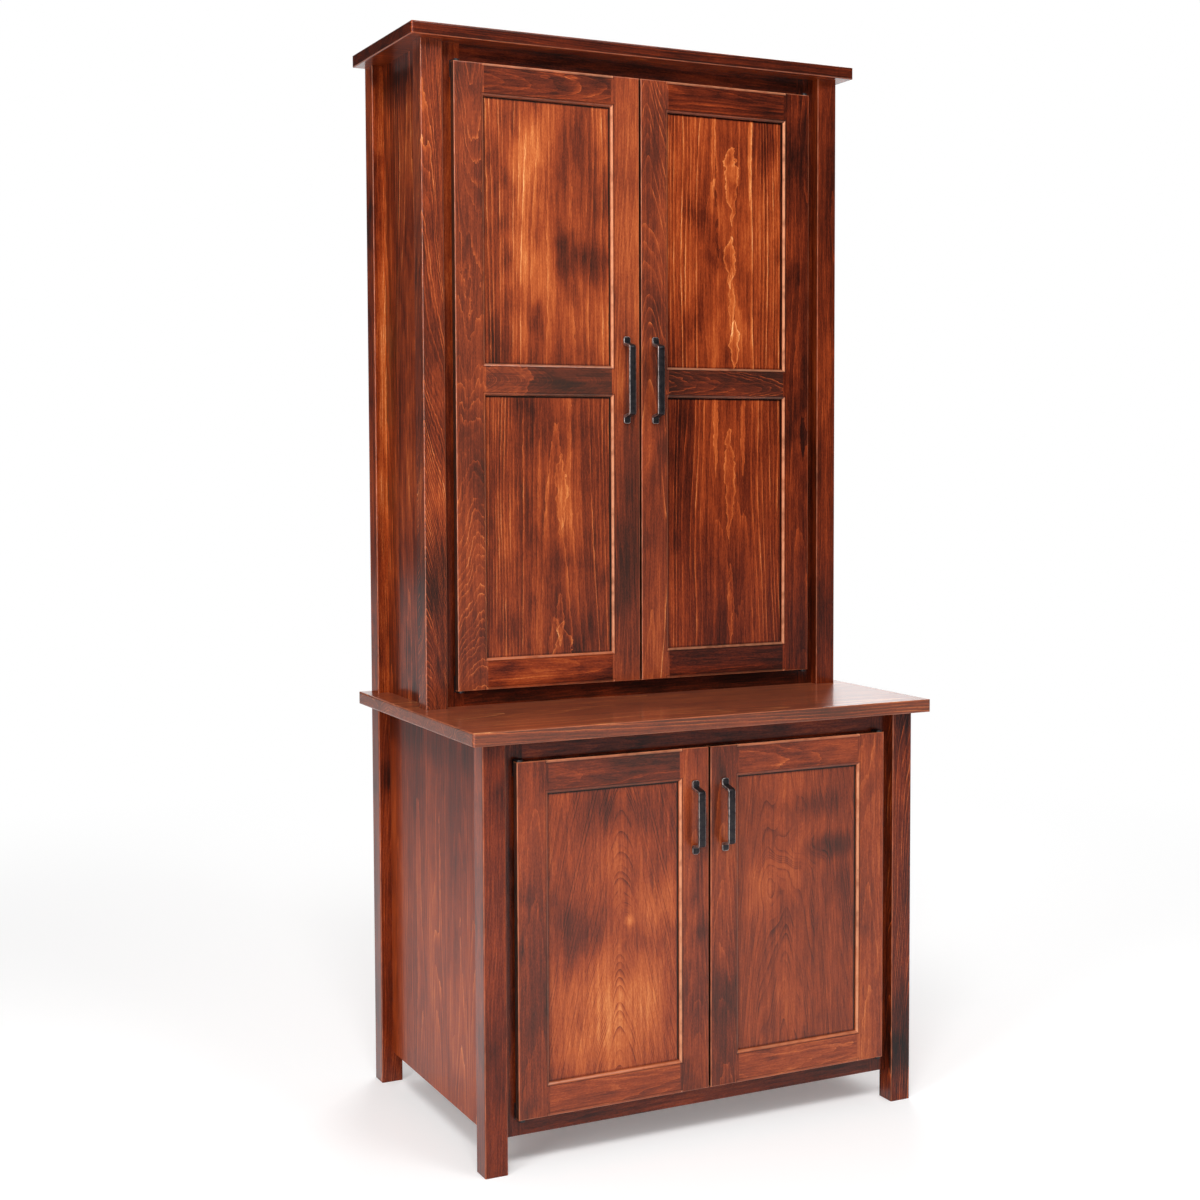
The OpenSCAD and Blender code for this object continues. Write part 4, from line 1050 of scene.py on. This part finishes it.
# The shank starts at this share of the head's thickness
SHANK_START = 0.8
screw_nodes = [("wood_screws", "root")]
screw_nodes += [(door + "_pull_screws", door) for door in DOORS]
for node, body in screw_nodes:
    sizes = all_sizes(node)
    made = make_repeated(
        "detailed_" + node, screw_tree, screw_inputs, sizes,
        {"head_size": [(s["head_r"], s["head_r"], s["head_t"]) for s in sizes],
         "shank_start": [s["aim"] * s["head_t"] * SHANK_START for s in sizes],
         "shank_size": [(s["shank_r"], s["shank_r"], s["length"] - s["head_t"] * SHANK_START)
                        for s in sizes]}, SCREW_NUMBERS)
    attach(made, body)
    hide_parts(node)
    print(made.name, len(sizes), "screws,", len(made.data.polygons), "faces")
sizes = all_sizes("shelf_pins")
made = make_repeated("detailed_shelf_pins", pin_tree, pin_inputs, sizes,
                     {"size": [(s["head_r"], s["head_r"], s["length"]) for s in sizes]},
                     PIN_NUMBERS)
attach(made, "root")
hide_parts("shelf_pins")
print(made.name, len(sizes), "pins,", len(made.data.polygons), "faces")

# %% [markdown]
# The pull is a flat strap, bent twice at each end, with its edges slightly rounded by tumbling. The
# construction model has the bends and the feet. A copy of it is merged into one skin, its flat
# triangles are dissolved into whole faces, and its sharp edges are bevelled. The bevel faces carry
# an attribute, rubbed, which the bronze reads to show brighter metal: worn edges and a painted
# highlight on them. The narrow sides of the strap carry about half of it, as a painted sheen.

# %% Pulls
EDGE_ROUND = 0.001
# How much of the brighter metal the strap's narrow sides get, as painted sheen
SIDE_SHEEN = 0.55


def rounded_copy(node, name):
    bm = one_skin(node)
    bmesh.ops.dissolve_limit(bm, angle_limit=math.radians(1.0), verts=bm.verts, edges=bm.edges)
    sharp = [e for e in bm.edges if len(e.link_faces) == 2 and
             e.calc_face_angle(0.0) > math.radians(35)]
    result = bmesh.ops.bevel(bm, geom=sharp, offset=EDGE_ROUND, segments=2, profile=0.5,
                             affect="EDGES", clamp_overlap=True)
    rounded = set(result["faces"])
    bmesh.ops.recalc_face_normals(bm, faces=bm.faces)
    # Bevel faces get the worn edges' painted highlight in full, and the sides facing left and right
    # get the painted sheen
    layer = bm.loops.layers.float_color.new("rubbed")
    for face in bm.faces:
        value = 1.0 if face in rounded else SIDE_SHEEN if abs(face.normal.x) > 0.9 else 0.0
        for loop in face.loops:
            loop[layer] = (value, value, value, 1.0)
    # Begun afresh from a plain mesh, the last step makes its triangles in the same order each run
    mesh = bpy.data.meshes.new(name)
    bm.to_mesh(mesh)
    bm.clear()
    bm.from_mesh(mesh)
    bmesh.ops.triangulate(bm, faces=[f for f in bm.faces if len(f.verts) > 4])
    bm.to_mesh(mesh)
    bm.free()
    for polygon in mesh.polygons:
        polygon.use_smooth = True
    return add_object(name, mesh)


for door in DOORS:
    node = door + "_pull"
    made = rounded_copy(node, "rounded_" + node)
    made.data.set_sharp_from_angle(angle=math.radians(40))
    dress(made, bronze)
    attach(made, door)
    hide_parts(node)
    print(made.name, len(made.data.polygons), "faces")

# %% [markdown]
# The rest of the hardware hides inside: pivot brackets, bushings, catch plates and the magnetic
# catches. Their shapes are right as they come, so they only get their finish.


# %% Inside hardware
def moulded(name, dark, light, roughness):
    material, w, place = start_finish(name)
    pebble = w.noise(place, 0.0006)
    colour = w.colours(w.noise(place, 0.012), [(0.3, dark), (0.7, light)])
    rough = w.line(pebble, 0.15, roughness)
    end_finish(w, colour, rough, pebble, 0.3, 0.0002, {"IOR": 1.5})
    return material


plastic = moulded("brown_plastic", paint(58, 36, 26), paint(72, 46, 33), 0.38)
dress(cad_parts["door_catches"], plastic)
dress(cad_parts["pivot_brackets"], bronze)
for door in DOORS:
    dress(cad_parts[door + "_fittings"], dull_zinc)
print("Hardware dressed")

# %% [markdown]
# The last cell measures the box of the dressed cabinet and hands the scene over.

# %% Measure and finish
low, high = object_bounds()
print("Dressed size", [round(v, 4) for v in high - low])
